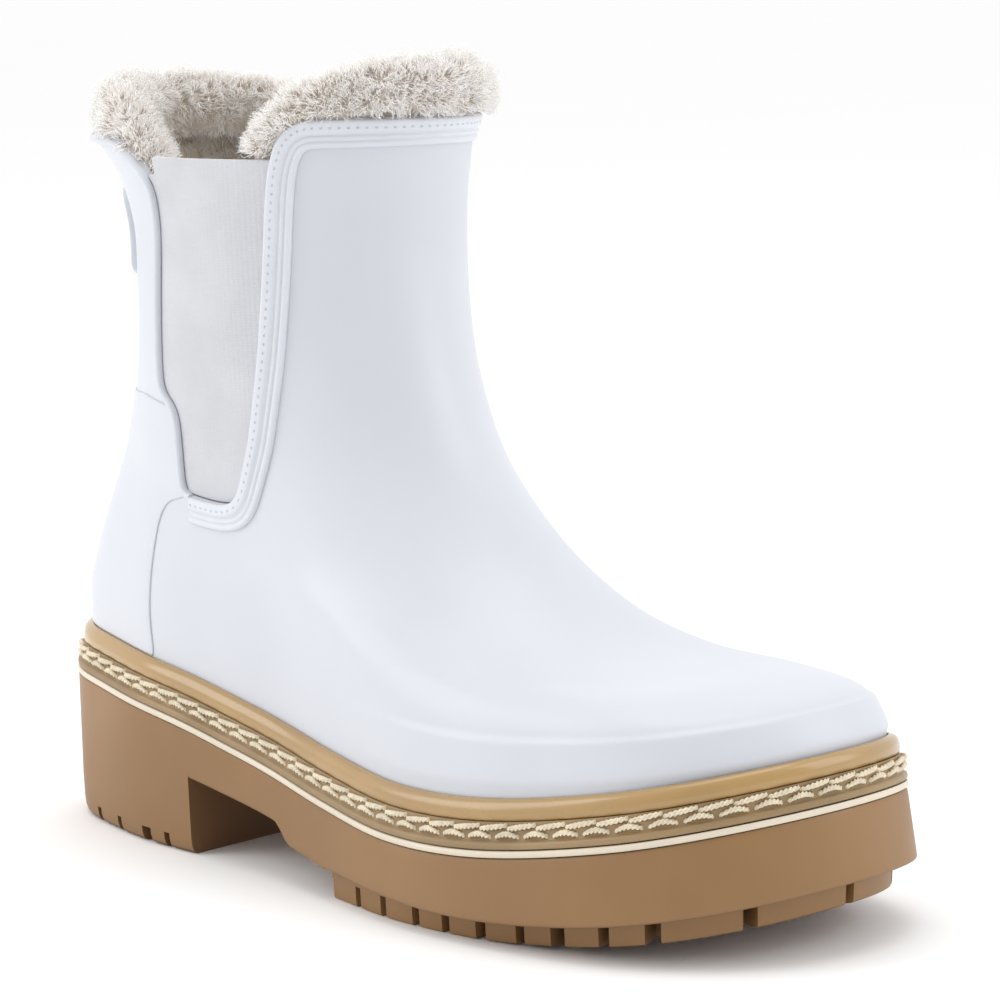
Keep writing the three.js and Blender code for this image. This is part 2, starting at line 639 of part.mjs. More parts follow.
const boot = new THREE.Group();
boot.add(
  meshOf("outsole", outsole(), finishes.gum),
  meshOf("midsole", midsole(), finishes.cream),
  meshOf("welt", welt(), finishes.tan),
  meshOf("rand", rand(), finishes.amber),
  meshOf("insole", insole(), finishes.shearling),
  meshOf("upper", upper(), finishes.white),
  meshOf("gore_lateral", gore(-1), finishes.elastic),
  meshOf("gore_medial", gore(1), finishes.elastic),
  meshOf("collar_trim", trim(), finishes.white),
  meshOf("heel_counter", counter(), finishes.white),
  meshOf("back_tab", backTab(), finishes.white),
  meshOf("fur_front", furFront(), finishes.shearling),
  meshOf("fur_back", furBack(), finishes.shearling),
);
boot.position.x = -heelBlockLength / 2;

const part = new THREE.Group();
part.add(boot);

export default part;
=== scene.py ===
"""Looks of a chelsea rain boot with a lug sole, a stitched welt, elastic gores and a shearling cuff."""

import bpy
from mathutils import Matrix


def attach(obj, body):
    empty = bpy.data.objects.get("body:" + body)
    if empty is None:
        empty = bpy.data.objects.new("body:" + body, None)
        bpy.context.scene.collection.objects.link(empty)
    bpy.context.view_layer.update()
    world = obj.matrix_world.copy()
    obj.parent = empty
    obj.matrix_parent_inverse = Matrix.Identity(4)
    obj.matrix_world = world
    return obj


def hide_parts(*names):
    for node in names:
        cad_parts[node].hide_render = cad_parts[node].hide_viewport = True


bl_info = {
    "name": "Rain Boot Looks",
    "version": (1, 0, 0),
    "blender": (4, 5, 0),
    "location": "View3D > Sidebar > Boot",
    "description": "Dresses the packed solids of a chelsea rain boot",
    "category": "Mesh",
}

import math

import bmesh
import bpy
import numpy as np
from bpy.props import FloatProperty, FloatVectorProperty, IntProperty, PointerProperty
from mathutils import Matrix, Vector, noise

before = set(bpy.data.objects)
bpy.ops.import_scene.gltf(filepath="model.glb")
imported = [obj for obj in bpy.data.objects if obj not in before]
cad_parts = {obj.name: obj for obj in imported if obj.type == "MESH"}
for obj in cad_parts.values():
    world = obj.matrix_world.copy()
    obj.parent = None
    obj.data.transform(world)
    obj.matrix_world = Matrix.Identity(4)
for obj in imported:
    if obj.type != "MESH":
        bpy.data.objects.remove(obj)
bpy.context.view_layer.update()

# Sizes in millimetres, from the back of the sole and from the floor, as the solids have them
MM = 0.001
HEEL_BLOCK = 76.0
ORIGIN = np.array([-HEEL_BLOCK / 2, 0.0, 0.0])
SOLE_LENGTH = 279.0
BALL_WIDTH = 104.4
HEEL_SEAM = 44.0
BALL_SEAM = 22.0
TOE_RISE = 16.5
TOE_SPRING = 12.5
SPRING_START = 0.68
BREAST_HEIGHT = 22.0
ARCH_FRONT = 8.5
ARCH_STEP_AT = 119.0
ARCH_STEP = 4.5
TREAD_START = 140.0
LUG_DEPTH = 6.3
HEEL_LUG_DEPTH = 4.6
CHANNELS = 6
CHANNEL_PITCH = 14.0
CHANNEL_WIDTH = 3.0
CHANNEL_DEPTH = 4.5
SOLE_FLARE = 2.6
TREAD_INSET = 4.0
TREAD_INSET_REAR = 1.4
GAP = 0.3
STRIPE = 1.8
WELT_FOOT = STRIPE / 2 + GAP
WELT_TOP = WELT_FOOT + 7.0
RAND_TOP = WELT_TOP + GAP + 5.2
UPPER_INSET = 5.0
UPPER_WALL = 2.5
COLLAR = 206.0
BACK_COLLAR = 200.0
SHAFT_WIDTH = 81.0
GORE_BACK = 69.0
GORE_WIDTH = 40.0
GORE_FOOT = 100.0
GORE_TOP = COLLAR - 11.0
COUNTER_TOP = 128.0
TAB_FOOT = 160.0
TAB_TOP = 186.0
TAB_WIDTH = 44.0

# Outline of the sole: share of the length, swing of the centre line, half width over an ellipse's
OUTLINE = np.array([
    (0.0, -0.018, 1.314), (0.1, 0.007, 1.038), (0.2, -0.028, 0.889), (0.3, -0.045, 0.785),
    (0.4, -0.056, 0.757), (0.5, -0.066, 0.829), (0.6, -0.054, 0.965), (0.7, -0.021, 1.091),
    (0.8, 0.007, 1.205), (0.9, 0.042, 1.386), (1.0, 0.155, 1.686),
])

# Side profile of the sole: share of the length, drop from the heel, lift at the toe, lean of the wall
PROFILE = np.array([
    (0.0, 1.0, 0.0, 0.0), (0.12, 0.905, 0.0, 0.0), (0.24, 0.732, 0.0, 0.0), (0.36, 0.445, 0.0, 0.3),
    (0.48, 0.168, 0.0, 0.8), (0.6, 0.005, 0.01, 1.0), (0.72, 0.0, 0.09, 1.0), (0.86, 0.0, 0.46, 1.0),
    (1.0, 0.0, 1.0, 1.0),
])

# Slanting rings of the upper: back, back height, front, front height, share of the sole's outline,
# half width at the rear, middle and front, sideways swing
UPPER = np.array([
    (0.018, 0.0, 0.982, 0.0, 1.0, 1.0, 1.0, 1.0, 0.0),
    (0.018, 0.08, 0.982, 0.071, 1.0, 1.0, 1.0, 1.0, 0.0),
    (0.018, 0.15, 0.974, 0.112, 0.97, 1.0, 1.0, 1.0, 0.0),
    (0.03, 0.215, 0.954, 0.152, 0.9, 0.98, 0.95, 1.0, 0.0),
    (0.043, 0.28, 0.9, 0.184, 0.72, 0.95, 0.907, 0.971, 0.01),
    (0.055, 0.34, 0.82, 0.21, 0.5, 0.93, 0.891, 0.928, 0.02),
    (0.067, 0.4, 0.728, 0.26, 0.28, 0.92, 0.873, 0.884, 0.03),
    (0.077, 0.46, 0.63, 0.35, 0.12, 0.93, 0.886, 0.87, 0.04),
    (0.088, 0.525, 0.553, 0.47, 0.0, 0.95, 0.908, 0.874, 0.05),
    (0.1, 0.6, 0.508, 0.595, 0.0, 0.98, 0.949, 0.917, 0.06),
    (0.107, 0.7, 0.489, 0.72, 0.0, 1.0, 0.981, 0.962, 0.06),
    (0.104, 0.815, 0.485, 0.85, 0.0, 1.01, 1.003, 1.005, 0.06),
    (0.076, 0.925, 0.495, 0.93, 0.0, 1.16, 1.025, 1.008, 0.06),
    (0.004, 1.03, 0.512, 1.03, 0.0, 1.56, 1.058, 1.031, 0.06),
])
RING_LEVELS = np.linspace(0, 1, len(UPPER))

# Edge of the opening in side view: shares of the gore's width and height
OPENING = np.array([
    (-4, 1.053), (-0.75, 1.053), (-0.5, 1.045), (-0.3, 1.01), (-0.13, 0.95), (-0.04, 0.88),
    (-0.07, 0.69), (-0.15, 0.48), (-0.19, 0.34), (-0.14, 0.3), (-0.04, 0.27), (0.0, 0.22), (0.0, 0.06),
    (0.03, 0.02), (0.1, 0.01), (0.45, 0.0), (0.6, 0.01), (0.68, 0.035), (0.73, 0.09), (0.8, 0.24),
    (0.88, 0.46), (0.94, 0.7), (0.98, 0.9), (1.02, 1.0), (1.09, 1.07), (1.2, 1.107), (1.35, 1.116),
    (6, 1.116),
])

# Lug slots: place round the sole and width
TREAD_SLOTS = [
    (1.57, 2.4), (1.665, 2.4), (1.75, 2.4), (1.845, 2.6), (1.925, 2.6), (2.016, 3.2), (2.117, 2.6),
    (2.215, 4.2), (2.341, 3.0), (2.48, 4.2), (2.76, 3.8), (3.105, 3.0), (3.45, 3.8), (3.72, 4.2),
    (3.88, 3.0), (4.02, 4.2), (4.14, 2.6), (4.25, 3.2), (4.35, 2.6), (4.44, 2.6), (4.53, 2.4),
    (4.62, 2.4),
]
HEEL_SLOTS = [
    (0.62, 2.4), (0.77, 2.4), (0.92, 4.4), (1.006, 2.4), (5.66, 2.4), (5.51, 2.4), (5.36, 4.4),
    (5.277, 2.4),
]

# Lower corner of the sole's wall, at the heel block and in front of it: inset, height
HEEL_CORNER = [
    (3.0, 0.0), (1.9, 0.35), (1.15, 1.2), (0.7, 2.6), (0.45, 5.0), (0.2, 12.0),
]
WALL_CORNER = [
    (1.3, 0.0), (0.75, 0.08), (0.3, 0.35), (0.07, 0.75), (0.0, 1.3), (0.0, 3.0),
]

# Bands round the sole: inset from its outline, height over the stripe's middle
STRIPE_SECTION = [
    (12, -0.9), (0.4, -0.9), (0.0, -0.85), (-0.2, -0.6), (-0.28, 0.0), (-0.2, 0.6), (0.0, 0.85),
    (0.4, 0.9), (12, 0.9),
]
WELT_SECTION = [
    (4.7, 1.2), (0.6, 1.2), (0.2, 1.25), (-0.02, 1.45), (-0.1, 1.8), (-0.08, 2.4), (0.05, 2.8),
    (0.4, 3.1), (0.85, 3.35), (1.15, 3.7), (1.3, 4.3), (1.35, 5.0), (1.25, 5.5), (1.2, 5.8), (1.4, 6.2),
    (1.65, 6.7), (1.75, 7.3), (1.8, 7.8), (1.95, 8.05), (2.3, 8.15), (4.7, 8.15),
]
RAND_SECTION = [
    (4.7, 8.25), (2.6, 8.25), (2.1, 8.35), (1.85, 8.7), (1.75, 9.4), (1.85, 10.4), (2.1, 11.5),
    (2.5, 12.4), (3.1, 13.1), (3.9, 13.55), (4.7, 13.7),
]

# Strips along the opening: distance from its edge, height over the face
TRIM_SECTION = [
    (0.15, 0.3), (0.05, 0.9), (0.1, 1.5), (0.35, 1.85), (0.8, 2.0), (1.5, 1.95), (2.1, 1.9), (2.8, 1.9),
    (3.3, 1.75), (3.7, 1.35), (4.0, 1.05), (4.25, 1.05), (4.5, 1.3), (4.9, 1.4), (5.35, 1.3),
    (5.6, 0.95), (5.85, 0.95), (6.1, 1.2), (6.6, 1.3), (7.2, 1.2), (7.6, 0.9), (7.8, 0.5), (7.85, 0.1),
    (7.4, -0.2), (3.0, -0.2), (0.5, -0.1),
]
BEAD_SECTION = [
    (-0.3, -0.6), (-0.45, 0.1), (-0.3, 0.75), (0.2, 1.15), (0.8, 1.15), (1.35, 0.9), (1.7, 0.4),
    (1.75, -0.3),
]

# Heel counter in side view
COUNTER_EDGE = np.array([
    (-60, -5), (56, -5), (56.5, 52), (54.5, 65), (55, 76), (56.6, 87), (58.3, 94), (62, 98.5),
    (GORE_BACK, GORE_FOOT), (GORE_BACK + 10, GORE_FOOT + 4), (GORE_BACK + 10, COUNTER_TOP),
    (GORE_BACK - 10, COUNTER_TOP + 0.5), (40, COUNTER_TOP - 1), (-60, COUNTER_TOP - 2), (-60, 0),
])

# Cuffs: middle and half lengths as turns of the face, side that shows the outer end, then millimetres
CUFFS = {
    "front": {"middle": math.pi, "half": 0.92, "half_outer": 1.16, "outer": -1, "edge": COLLAR,
              "inset": 3.5, "tuck": 4.0, "rise": 6.5, "droop": 8.0, "droop_outer": 18.0, "radius": 6.3},
    "back": {"middle": 0.0, "half": 1.35, "half_outer": 1.36, "outer": 1, "edge": BACK_COLLAR,
             "inset": 9.5, "tuck": 1.0, "rise": 7.5, "droop": 10.0, "droop_outer": 21.0, "radius": 6.4},
}

# Camera and lights, in metres: place, aim, size, watts and colour of each lamp
CAMERA_PLACE = (0.7586, -0.6598, 0.2417)
CAMERA_RIGHT = (0.7220, 0.6917, -0.0183)
CAMERA_UP = (-0.0899, 0.1200, 0.9887)
CAMERA_LENS = 124.58
DARK_SIDE = (0.82, -0.56, 0.1)
LAMPS = {
    "left_box": ((-1.0, -1.1, 1.0), (0.05, 0, 0.1), (0.9, 1.4), 9, (1.0, 0.99, 0.98)),
    "right_box": ((1.3, 0.6, 0.8), (0.1, 0, 0.1), (0.8, 1.2), 5, (0.97, 0.98, 1.0)),
    "top_box": ((0.1, 0.1, 1.8), (0.05, 0, 0.1), (1.2, 1.2), 6, (1.0, 1.0, 1.0)),
}

# Toe bumper: its step in millimetres, then where it fades, as levels of the face and shares of the sole
BUMPER_STEP = 0.8
BUMPER_FOOT = (0.08, 0.105)
BUMPER_TOP = (0.19, 0.212)
BUMPER_START = (0.5, 0.66)

# Soft crease over the instep
CREASE_X = 120.0
CREASE_Z = 92.0
CREASE_SLANT = 0.35
CREASE_WIDTH = 9.0
CREASE_DEPTH = 0.5

# Elastic web: reach behind the shaft's line, height of its upper corner's step, depth and thickness
WEB_BEHIND = 1.4
WEB_STEP = 5.0
WEB_DEPTH = 0.7
WEB_THICKNESS = 1.6

# Lining: gap to the wall and height of its lumps
LINING_GAP = 0.9
LINING_LUMPS = 1.6

# Angle past which an edge is rounded, and the small step in level or turn that slopes are read over
EDGE_ANGLE = math.radians(50)
NUDGE = 1e-3

# How squarely a stitch dips into its holes, and the colour of the painted shade on the sole's underside and
# heel breast
STITCH_CURVE = 0.35
UNDER_SHADE = (0.13, 0.058, 0.02)


def length_value(name, description, default, least):
    return FloatProperty(name=name, description=description, default=default, min=least, unit="LENGTH")


def colour_value(name, description, *default):
    return FloatVectorProperty(name=name, description=description, default=default, size=3, subtype="COLOR")


class BootSizes(bpy.types.PropertyGroup):
    """Sizes of the soft and sewn details"""
    fur_length: length_value("Fur length", "Length of the cuff's hairs", 0.0046, 0.002)
    fur_count: IntProperty(
        name="Fur hairs", description="Hairs on one half of a cuff", default=8000, min=100)
    pile_length: length_value("Pile length", "Length of the lining's pile", 0.0035, 0.001)
    stitch_pitch: length_value("Stitch pitch", "Length of one welt stitch", 0.0088, 0.004)
    thread: length_value("Thread", "Thickness of the welt thread", 0.0017, 0.0004)
    rubber_grain: length_value("Rubber grain", "Height of the rubber's fine grain", 0.00002, 0.0)


class BootColours(bpy.types.PropertyGroup):
    """Colours of the boot's materials"""
    shell: colour_value("Rubber upper", "Colour of the upper", 0.615, 0.636, 0.685)
    gum: colour_value("Gum sole", "Colour of the outsole", 0.29, 0.156, 0.058)
    stripe: colour_value("Stripe", "Colour of the stripe", 0.74, 0.66, 0.53)
    welt: colour_value("Welt", "Colour of the stitched welt", 0.32, 0.212, 0.10)
    rand: colour_value("Rand", "Colour of the glossy rand", 0.43, 0.265, 0.093)
    thread: colour_value("Thread", "Colour of the welt thread", 0.87, 0.77, 0.58)
    elastic: colour_value("Elastic", "Colour of the gores", 0.59, 0.60, 0.63)
    fur: colour_value("Fur tips", "Colour of the hairs' tips", 0.965, 0.93, 0.885)
    # Painted shade: the roots' colour is the dark end of the fur's ramp, standing for the shade deep in the
    # pile and in the hollows between lumps.
    fur_root: colour_value("Fur roots", "Colour between the hairs", 0.68, 0.57, 0.46)


# Curves of the form

def column(table, index, place):
    """A smooth curve through one column of a table, read along its first column."""
    keys, values = table[:, 0], table[:, index]
    place = np.asarray(place, float)
    last = len(keys) - 1
    i = np.clip(np.searchsorted(keys, place, side="left") - 1, 0, last - 1)
    before, after = np.maximum(i - 1, 0), np.minimum(i + 2, last)
    start = (values[i + 1] - values[before]) / (keys[i + 1] - keys[before])
    end = (values[after] - values[i]) / (keys[after] - keys[i])
    span = keys[i + 1] - keys[i]
    t = np.clip((place - keys[i]) / span, 0, 1)
    rise = t * t * (3 - 2 * t)
    bend = start * t * (1 - t) ** 2 - end * t * t * (1 - t)
    return mix(values[i], values[i + 1], rise) + span * bend


def ease(value, low, high):
    t = np.clip((np.asarray(value, float) - low) / (high - low), 0, 1)
    return t * t * (3 - 2 * t)


def mix(a, b, share):
    return a + (b - a) * share


def unit(vectors):
    return vectors / np.linalg.norm(vectors, axis=-1, keepdims=True)


def dot(a, b):
    return (a * b).sum(-1)


def run_along(points):
    """Length along a line up to each of its points."""
    return np.concatenate([[0], np.cumsum(np.linalg.norm(np.diff(points, axis=0), axis=1))])


def profile_at(x, index):
    return column(PROFILE, index, np.clip(np.asarray(x) / SOLE_LENGTH, 0, 1))


def seam_height(x):
    return BALL_SEAM + (HEEL_SEAM - BALL_SEAM) * profile_at(x, 1) + TOE_RISE * profile_at(x, 2)


def tread_height(x):
    return TOE_SPRING * (np.maximum(x / SOLE_LENGTH - SPRING_START, 0) / (1 - SPRING_START)) ** 2


def wall_foot(x):
    """Height of the wall's lower edge in front of the heel block."""
    share = np.clip((x - HEEL_BLOCK) / (TREAD_START - HEEL_BLOCK), 0, 1)
    arch = mix(BREAST_HEIGHT - ARCH_STEP, ARCH_FRONT, share)
    arch = arch + ARCH_STEP * (1 - ease(x, ARCH_STEP_AT - 4, ARCH_STEP_AT + 4))
    return mix(arch, LUG_DEPTH + tread_height(x), ease(x, TREAD_START + 2, TREAD_START + 48))


def lug_inset(x):
    return mix(TREAD_INSET_REAR, TREAD_INSET, ease(x, TREAD_START + 20, TREAD_START + 80))


def outline(turn):
    along = (1 - np.cos(turn)) / 2
    y = BALL_WIDTH / 2 * (column(OUTLINE, 1, along) - np.sin(turn) * column(OUTLINE, 2, along))
    return np.stack([along * SOLE_LENGTH, y], -1)


def edge(turn, inset, step=0.02):
    """The sole's outline moved inwards by inset."""
    along = unit(outline(turn + step) - outline(turn - step))
    return outline(turn) + np.stack([-along[..., 1], along[..., 0]], -1) * np.asarray(inset)[..., None]


def face(level, turn):
    """A point on the upper's outer face."""
    level, turn = np.broadcast_arrays(np.asarray(level, float), np.asarray(turn, float))
    table = np.column_stack([RING_LEVELS, UPPER])
    back, back_up, front, front_up, sole, rear, middle, fore, centre = (
        column(table, k, level) for k in range(1, 10))
    along = (1 - np.cos(turn)) / 2
    sole = np.clip(sole, 0, 1)
    rim = edge(turn, np.full(turn.shape, UPPER_INSET))
    straight = mix(UPPER_INSET, SOLE_LENGTH - UPPER_INSET, along)
    x = SOLE_LENGTH * mix(back, front, along) + sole * (rim[..., 0] - straight)
    oval = np.where(along < 0.5, mix(rear, middle, 2 * along), mix(middle, fore, 2 * along - 1))
    y = mix(SHAFT_WIDTH / 2 * (centre - np.sin(turn) * oval), rim[..., 1], sole)
    up = mix(back_up, front_up, along)
    z = mix(seam_height(x), BALL_SEAM, np.minimum(up, 1)) + WELT_FOOT + up * (COLLAR - BALL_SEAM)
    return np.stack([x, y, z], -1)


def slopes(level, turn, step=0.01):
    low, high = np.maximum(level - step, 0), np.minimum(level + step, 1)
    up = (face(high, turn) - face(low, turn)) / (high - low)[..., None]
    across = (face(level, turn + step) - face(level, turn - step)) / (2 * step)
    return up, across


def face_normal(level, turn):
    up, across = slopes(level, turn)
    return unit(np.cross(across, up))


def level_at(turn, height, steps=26):
    """Levels at which the face reaches a height."""
    low, high = np.full(turn.shape, 0.5), np.ones(turn.shape)
    for _ in range(steps):
        middle = (low + high) / 2
        under = face(middle, turn)[..., 2] < height
        low, high = np.where(under, middle, low), np.where(under, high, middle)
    return low


def bumper(level, x):
    """The step of the toe bumper."""
    band = ease(level, *BUMPER_FOOT) * (1 - ease(level, *BUMPER_TOP))
    return BUMPER_STEP * band * ease(x / SOLE_LENGTH, *BUMPER_START)


def walk(level, turn, heading, distance, steps=4):
    """Places reached from (level, turn) by walking over the face along a heading in space."""
    for _ in range(steps):
        up, across = slopes(level, turn)
        normal = unit(np.cross(across, up))
        along = heading - normal * dot(heading, normal)[..., None]
        along *= (distance / steps / np.linalg.norm(along, axis=-1))[..., None]
        uu, ua, aa = dot(up, up), dot(up, across), dot(across, across)
        pu, pa = dot(along, up), dot(along, across)
        det = uu * aa - ua * ua
        level = np.clip(level + (pu * aa - pa * ua) / det, 0, 1)
        turn = turn + (pa * uu - pu * ua) / det
    return level, turn


# Edges in side view

def rounded(points, times=3):
    """Cuts the corners of an open line, which leaves a smooth curve."""
    for _ in range(times):
        a, b = points[:-1], points[1:]
        cut = np.empty((2 * len(a), 2))
        cut[0::2] = 0.75 * a + 0.25 * b
        cut[1::2] = 0.25 * a + 0.75 * b
        points = np.vstack([points[:1], cut, points[-1:]])
    return points


def side_line(shares):
    """Side-view points given as shares of the gore's width and height."""
    x, z = shares.T
    return np.column_stack([GORE_BACK + x * GORE_WIDTH, GORE_FOOT + z * (GORE_TOP - GORE_FOOT)])


OPENING_EDGE = rounded(side_line(OPENING))
OPENING_SHAPE = np.vstack([[OPENING_EDGE[0, 0], 300], OPENING_EDGE, [OPENING_EDGE[-1, 0], 300]])


def inside(points, shape):
    """Whether side-view points lie in a closed shape."""
    x, z = points[:, 0:1], points[:, 1:2]
    a, b = shape, np.roll(shape, -1, axis=0)
    straddles = (a[:, 1] > z) != (b[:, 1] > z)
    rise = np.where(b[:, 1] == a[:, 1], 1e-9, b[:, 1] - a[:, 1])
    crossing = a[:, 0] + (z - a[:, 1]) / rise * (b[:, 0] - a[:, 0])
    return (straddles & (x < crossing)).sum(1) % 2 == 1


def side_distance(points, shape, batch=20000):
    """Distance to a closed side-view shape's edge, under zero inside it."""
    flat = points.reshape(-1, points.shape[-1])[:, [0, -1]]
    a, b = shape, np.roll(shape, -1, axis=0)
    run = b - a
    length = np.maximum((run ** 2).sum(1), 1e-12)
    out = np.empty(len(flat))
    for start in range(0, len(flat), batch):
        p = flat[start:start + batch]
        t = np.clip(((p[:, None] - a) * run).sum(-1) / length, 0, 1)
        near = np.sqrt((((a + t[..., None] * run) - p[:, None]) ** 2).sum(-1)).min(1)
        out[start:start + batch] = np.where(inside(p, shape), -near, near)
    return out.reshape(points.shape[:-1])


def from_opening(points):
    return side_distance(points, OPENING_SHAPE)


# Mesh helpers

def deselect():
    if bpy.context.object and bpy.context.object.mode != "OBJECT":
        bpy.ops.object.mode_set(mode="OBJECT")
    bpy.ops.object.select_all(action="DESELECT")


def focus(obj):
    deselect()
    obj.select_set(True)
    bpy.context.view_layer.objects.active = obj


def finish_with(obj, kind, **settings):
    """Adds a modifier and applies it."""
    focus(obj)
    modifier = obj.modifiers.new(kind.title(), kind)
    for name, value in settings.items():
        setattr(modifier, name, value)
    bpy.ops.object.modifier_apply(modifier=modifier.name)


def smooth(obj, angle=40):
    focus(obj)
    bpy.ops.object.shade_smooth_by_angle(angle=math.radians(angle))


def walled(obj, thickness, bevel, outwards=True, segments=2):
    """Gives a sheet its thickness and rounded edges, in millimetres."""
    finish_with(obj, "SOLIDIFY", thickness=thickness * MM, offset=1.0 if outwards else -1.0,
                use_even_offset=True)
    finish_with(obj, "BEVEL", width=bevel * MM, segments=segments, limit_method="ANGLE",
                angle_limit=EDGE_ANGLE)
    smooth(obj, 50)


def close_up(obj, outward=True):
    """Merges the corners that meet at a seam and turns closed shapes right side out."""
    focus(obj)
    bpy.ops.object.mode_set(mode="EDIT")
    bpy.ops.mesh.select_all(action="SELECT")
    bpy.ops.mesh.remove_doubles(threshold=1e-7)
    if outward:
        bpy.ops.mesh.normals_make_consistent(inside=False)
    bpy.ops.object.mode_set(mode="OBJECT")


def placed(points):
    return (np.asarray(points) + ORIGIN) * MM


def laid_sheet(name, points, wrap=False, loop=False, drop=None, uv=None, capped=False):
    """A grid whose corners are laid at points[row][column]. wrap joins its sides and loop its ends.
    capped closes the first and the last row, whose columns mirror each other, with a flat face."""
    rows, cols = points.shape[:2]
    wide, tall = (cols if wrap else cols - 1), (rows if loop else rows - 1)
    deselect()
    bpy.ops.mesh.primitive_grid_add(x_subdivisions=wide, y_subdivisions=tall, size=2)
    obj = bpy.context.active_object
    obj.name = obj.data.name = name
    mesh = obj.data
    flat = np.empty(len(mesh.vertices) * 3)
    mesh.vertices.foreach_get("co", flat)
    flat = flat.reshape(-1, 3)
    i = np.rint((flat[:, 0] + 1) / 2 * wide).astype(int)
    j = np.rint((flat[:, 1] + 1) / 2 * tall).astype(int)
    mesh.vertices.foreach_set("co", placed(points[j % rows, i % cols]).ravel())
    corner = np.empty(len(mesh.loops), int)
    mesh.loops.foreach_get("vertex_index", corner)
    u, v = uv if uv is not None else (np.arange(wide + 1) / wide, np.arange(tall + 1) / tall)
    mesh.uv_layers.active.data.foreach_set("uv", np.column_stack([u[i], v[j]])[corner].ravel())
    if drop is not None or capped:
        work = bmesh.new()
        work.from_mesh(mesh)
        work.verts.ensure_lookup_table()
        if drop is not None:
            gone = drop[j % rows, i % cols]
            for patch in list(work.faces):
                bad = [k for k, spot in enumerate(patch.verts) if gone[spot.index]]
                if len(bad) == 1:
                    around = list(patch.verts)
                    bmesh.utils.face_split(patch, around[bad[0] - 1], around[(bad[0] + 1) % 4])
            bmesh.ops.delete(work, geom=[spot for spot in work.verts if gone[spot.index]], context="VERTS")
        if capped:
            at = {(int(b), int(a)): work.verts[k] for k, (a, b) in enumerate(zip(i, j))}
            across = [-k % cols if wrap else cols - 1 - k for k in range(cols)]
            for row in (0, tall):
                for k in range(cols // 2):
                    quad = [at[row, k], at[row, across[k]], at[row, across[k + 1]], at[row, k + 1]]
                    work.faces.new(list(dict.fromkeys(quad if row == 0 else quad[::-1])))
        work.to_mesh(mesh)
        work.free()
    if wrap or loop or capped:
        close_up(obj, outward=capped or loop)
    return obj


def joined(name, objects):
    focus(objects[0])
    for obj in objects[1:]:
        obj.select_set(True)
    if len(objects) > 1:
        bpy.ops.object.join()
    obj = bpy.context.view_layer.objects.active
    obj.name = obj.data.name = name
    return obj


def settle(obj, material, slot, *nodes):
    """Gives a finished piece its material and its body, and hides the solids it stands for. slot is not used.
    """
    obj.data.materials.clear()
    obj.data.materials.append(material)
    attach(obj, "root")
    if nodes:
        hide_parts(*nodes)
    return obj


def cut_patch(levels, turns, test, wrap, halvings=14):
    """A grid of places on the face, with the corners next to the kept region's edge moved on to it,
    by half a cell at most. test gives a point's distance into that region. Returns the levels, the
    turns and what is dropped."""
    level, turn = np.meshgrid(levels, turns, indexing="ij")
    depth = test(face(level, turn))
    best = np.full(depth.shape, 0.5 + 1e-6)
    new_level, new_turn = level.copy(), turn.copy()
    for axis in (0, 1):
        a_level, a_turn, a_depth = level, turn, depth
        b_level, b_turn, b_depth = (np.roll(grid, -1, axis) for grid in (level, turn, depth))
        if axis == 1 and wrap:
            b_turn = b_turn.copy()
            b_turn[:, -1] += 2 * math.pi
        crossing = (a_depth > 0) != (b_depth > 0)
        if axis == 0:
            crossing[-1] = False
        elif not wrap:
            crossing[:, -1] = False
        where = np.argwhere(crossing)
        if not len(where):
            continue
        pick = tuple(where.T)
        low, high = np.zeros(len(where)), np.ones(len(where))
        start_sign = a_depth[pick] > 0
        for _ in range(halvings):
            middle = (low + high) / 2
            value = test(face(mix(a_level[pick], b_level[pick], middle),
                              mix(a_turn[pick], b_turn[pick], middle)))
            same = (value > 0) == start_sign
            low, high = np.where(same, middle, low), np.where(same, high, middle)
        share = (low + high) / 2
        for k, (row, col) in enumerate(where):
            r, c, move = row, col, share[k]
            if share[k] >= 0.5:
                r, c, move = row + (axis == 0), (col + (axis == 1)) % len(turns), 1 - share[k]
            if move < best[r, c]:
                best[r, c] = move
                new_level[r, c] = mix(a_level[row, col], b_level[row, col], share[k])
                new_turn[r, c] = mix(a_turn[row, col], b_turn[row, col], share[k])
    snapped = best <= 0.5
    return new_level, new_turn, (depth <= 0) & ~snapped


def face_patch(name, levels, turns, test, offset, wrap=False, relief=None):
    """A sheet on the upper's face, moved outwards by offset and cut to the region that test keeps."""
    level, turn, drop = cut_patch(levels, turns, test, wrap)
    points = face(level, turn)
    lift = offset + (relief(level, points) if relief else 0)
    points = points + face_normal(level, turn) * np.asarray(lift)[..., None]
    return laid_sheet(name, points, wrap=wrap, drop=drop)


# The opening's edge, followed over the face

def trace_opening(step=1.0, most=1400):
    """Levels and turns along the opening's edge, from the collar's back round the outer side."""
    low, high = 0.6, 1.0
    for _ in range(30):
        middle = (low + high) / 2
        low, high = (middle, high) if from_opening(face(middle, 0.0)) > 0 else (low, middle)
    place = np.array([low, 0.0])
    heading = np.array([0.0, -1.0, 0.0])
    found = [place.copy()]
    for _ in range(most):
        level, turn = np.array(place[0]), np.array(place[1])
        up, across = slopes(level, turn)
        frame3 = np.stack([up, across], -1)
        inverse = np.linalg.pinv(frame3)
        probe = face(np.array([place[0] + NUDGE, place[0] - NUDGE, place[0], place[0]]).clip(0, 1),
                     np.array([place[1], place[1], place[1] + NUDGE, place[1] - NUDGE]))
        depth = from_opening(probe)
        slope = np.array([depth[0] - depth[1], depth[2] - depth[3]]) / (2 * NUDGE)
        metric = inverse @ inverse.T
        downhill = metric @ slope
        here = float(from_opening(face(level, turn)))
        place = place - downhill * here / float(slope @ downhill)
        steep = frame3 @ downhill
        normal = np.cross(across, up)
        along = np.cross(normal, steep)
        along /= np.linalg.norm(along)
        if along @ heading < 0:
            along = -along
        heading = along
        place = place + inverse @ along * step
        if place[1] >= 2 * math.pi:
            break
        found.append(place.copy())
    return np.array(found)


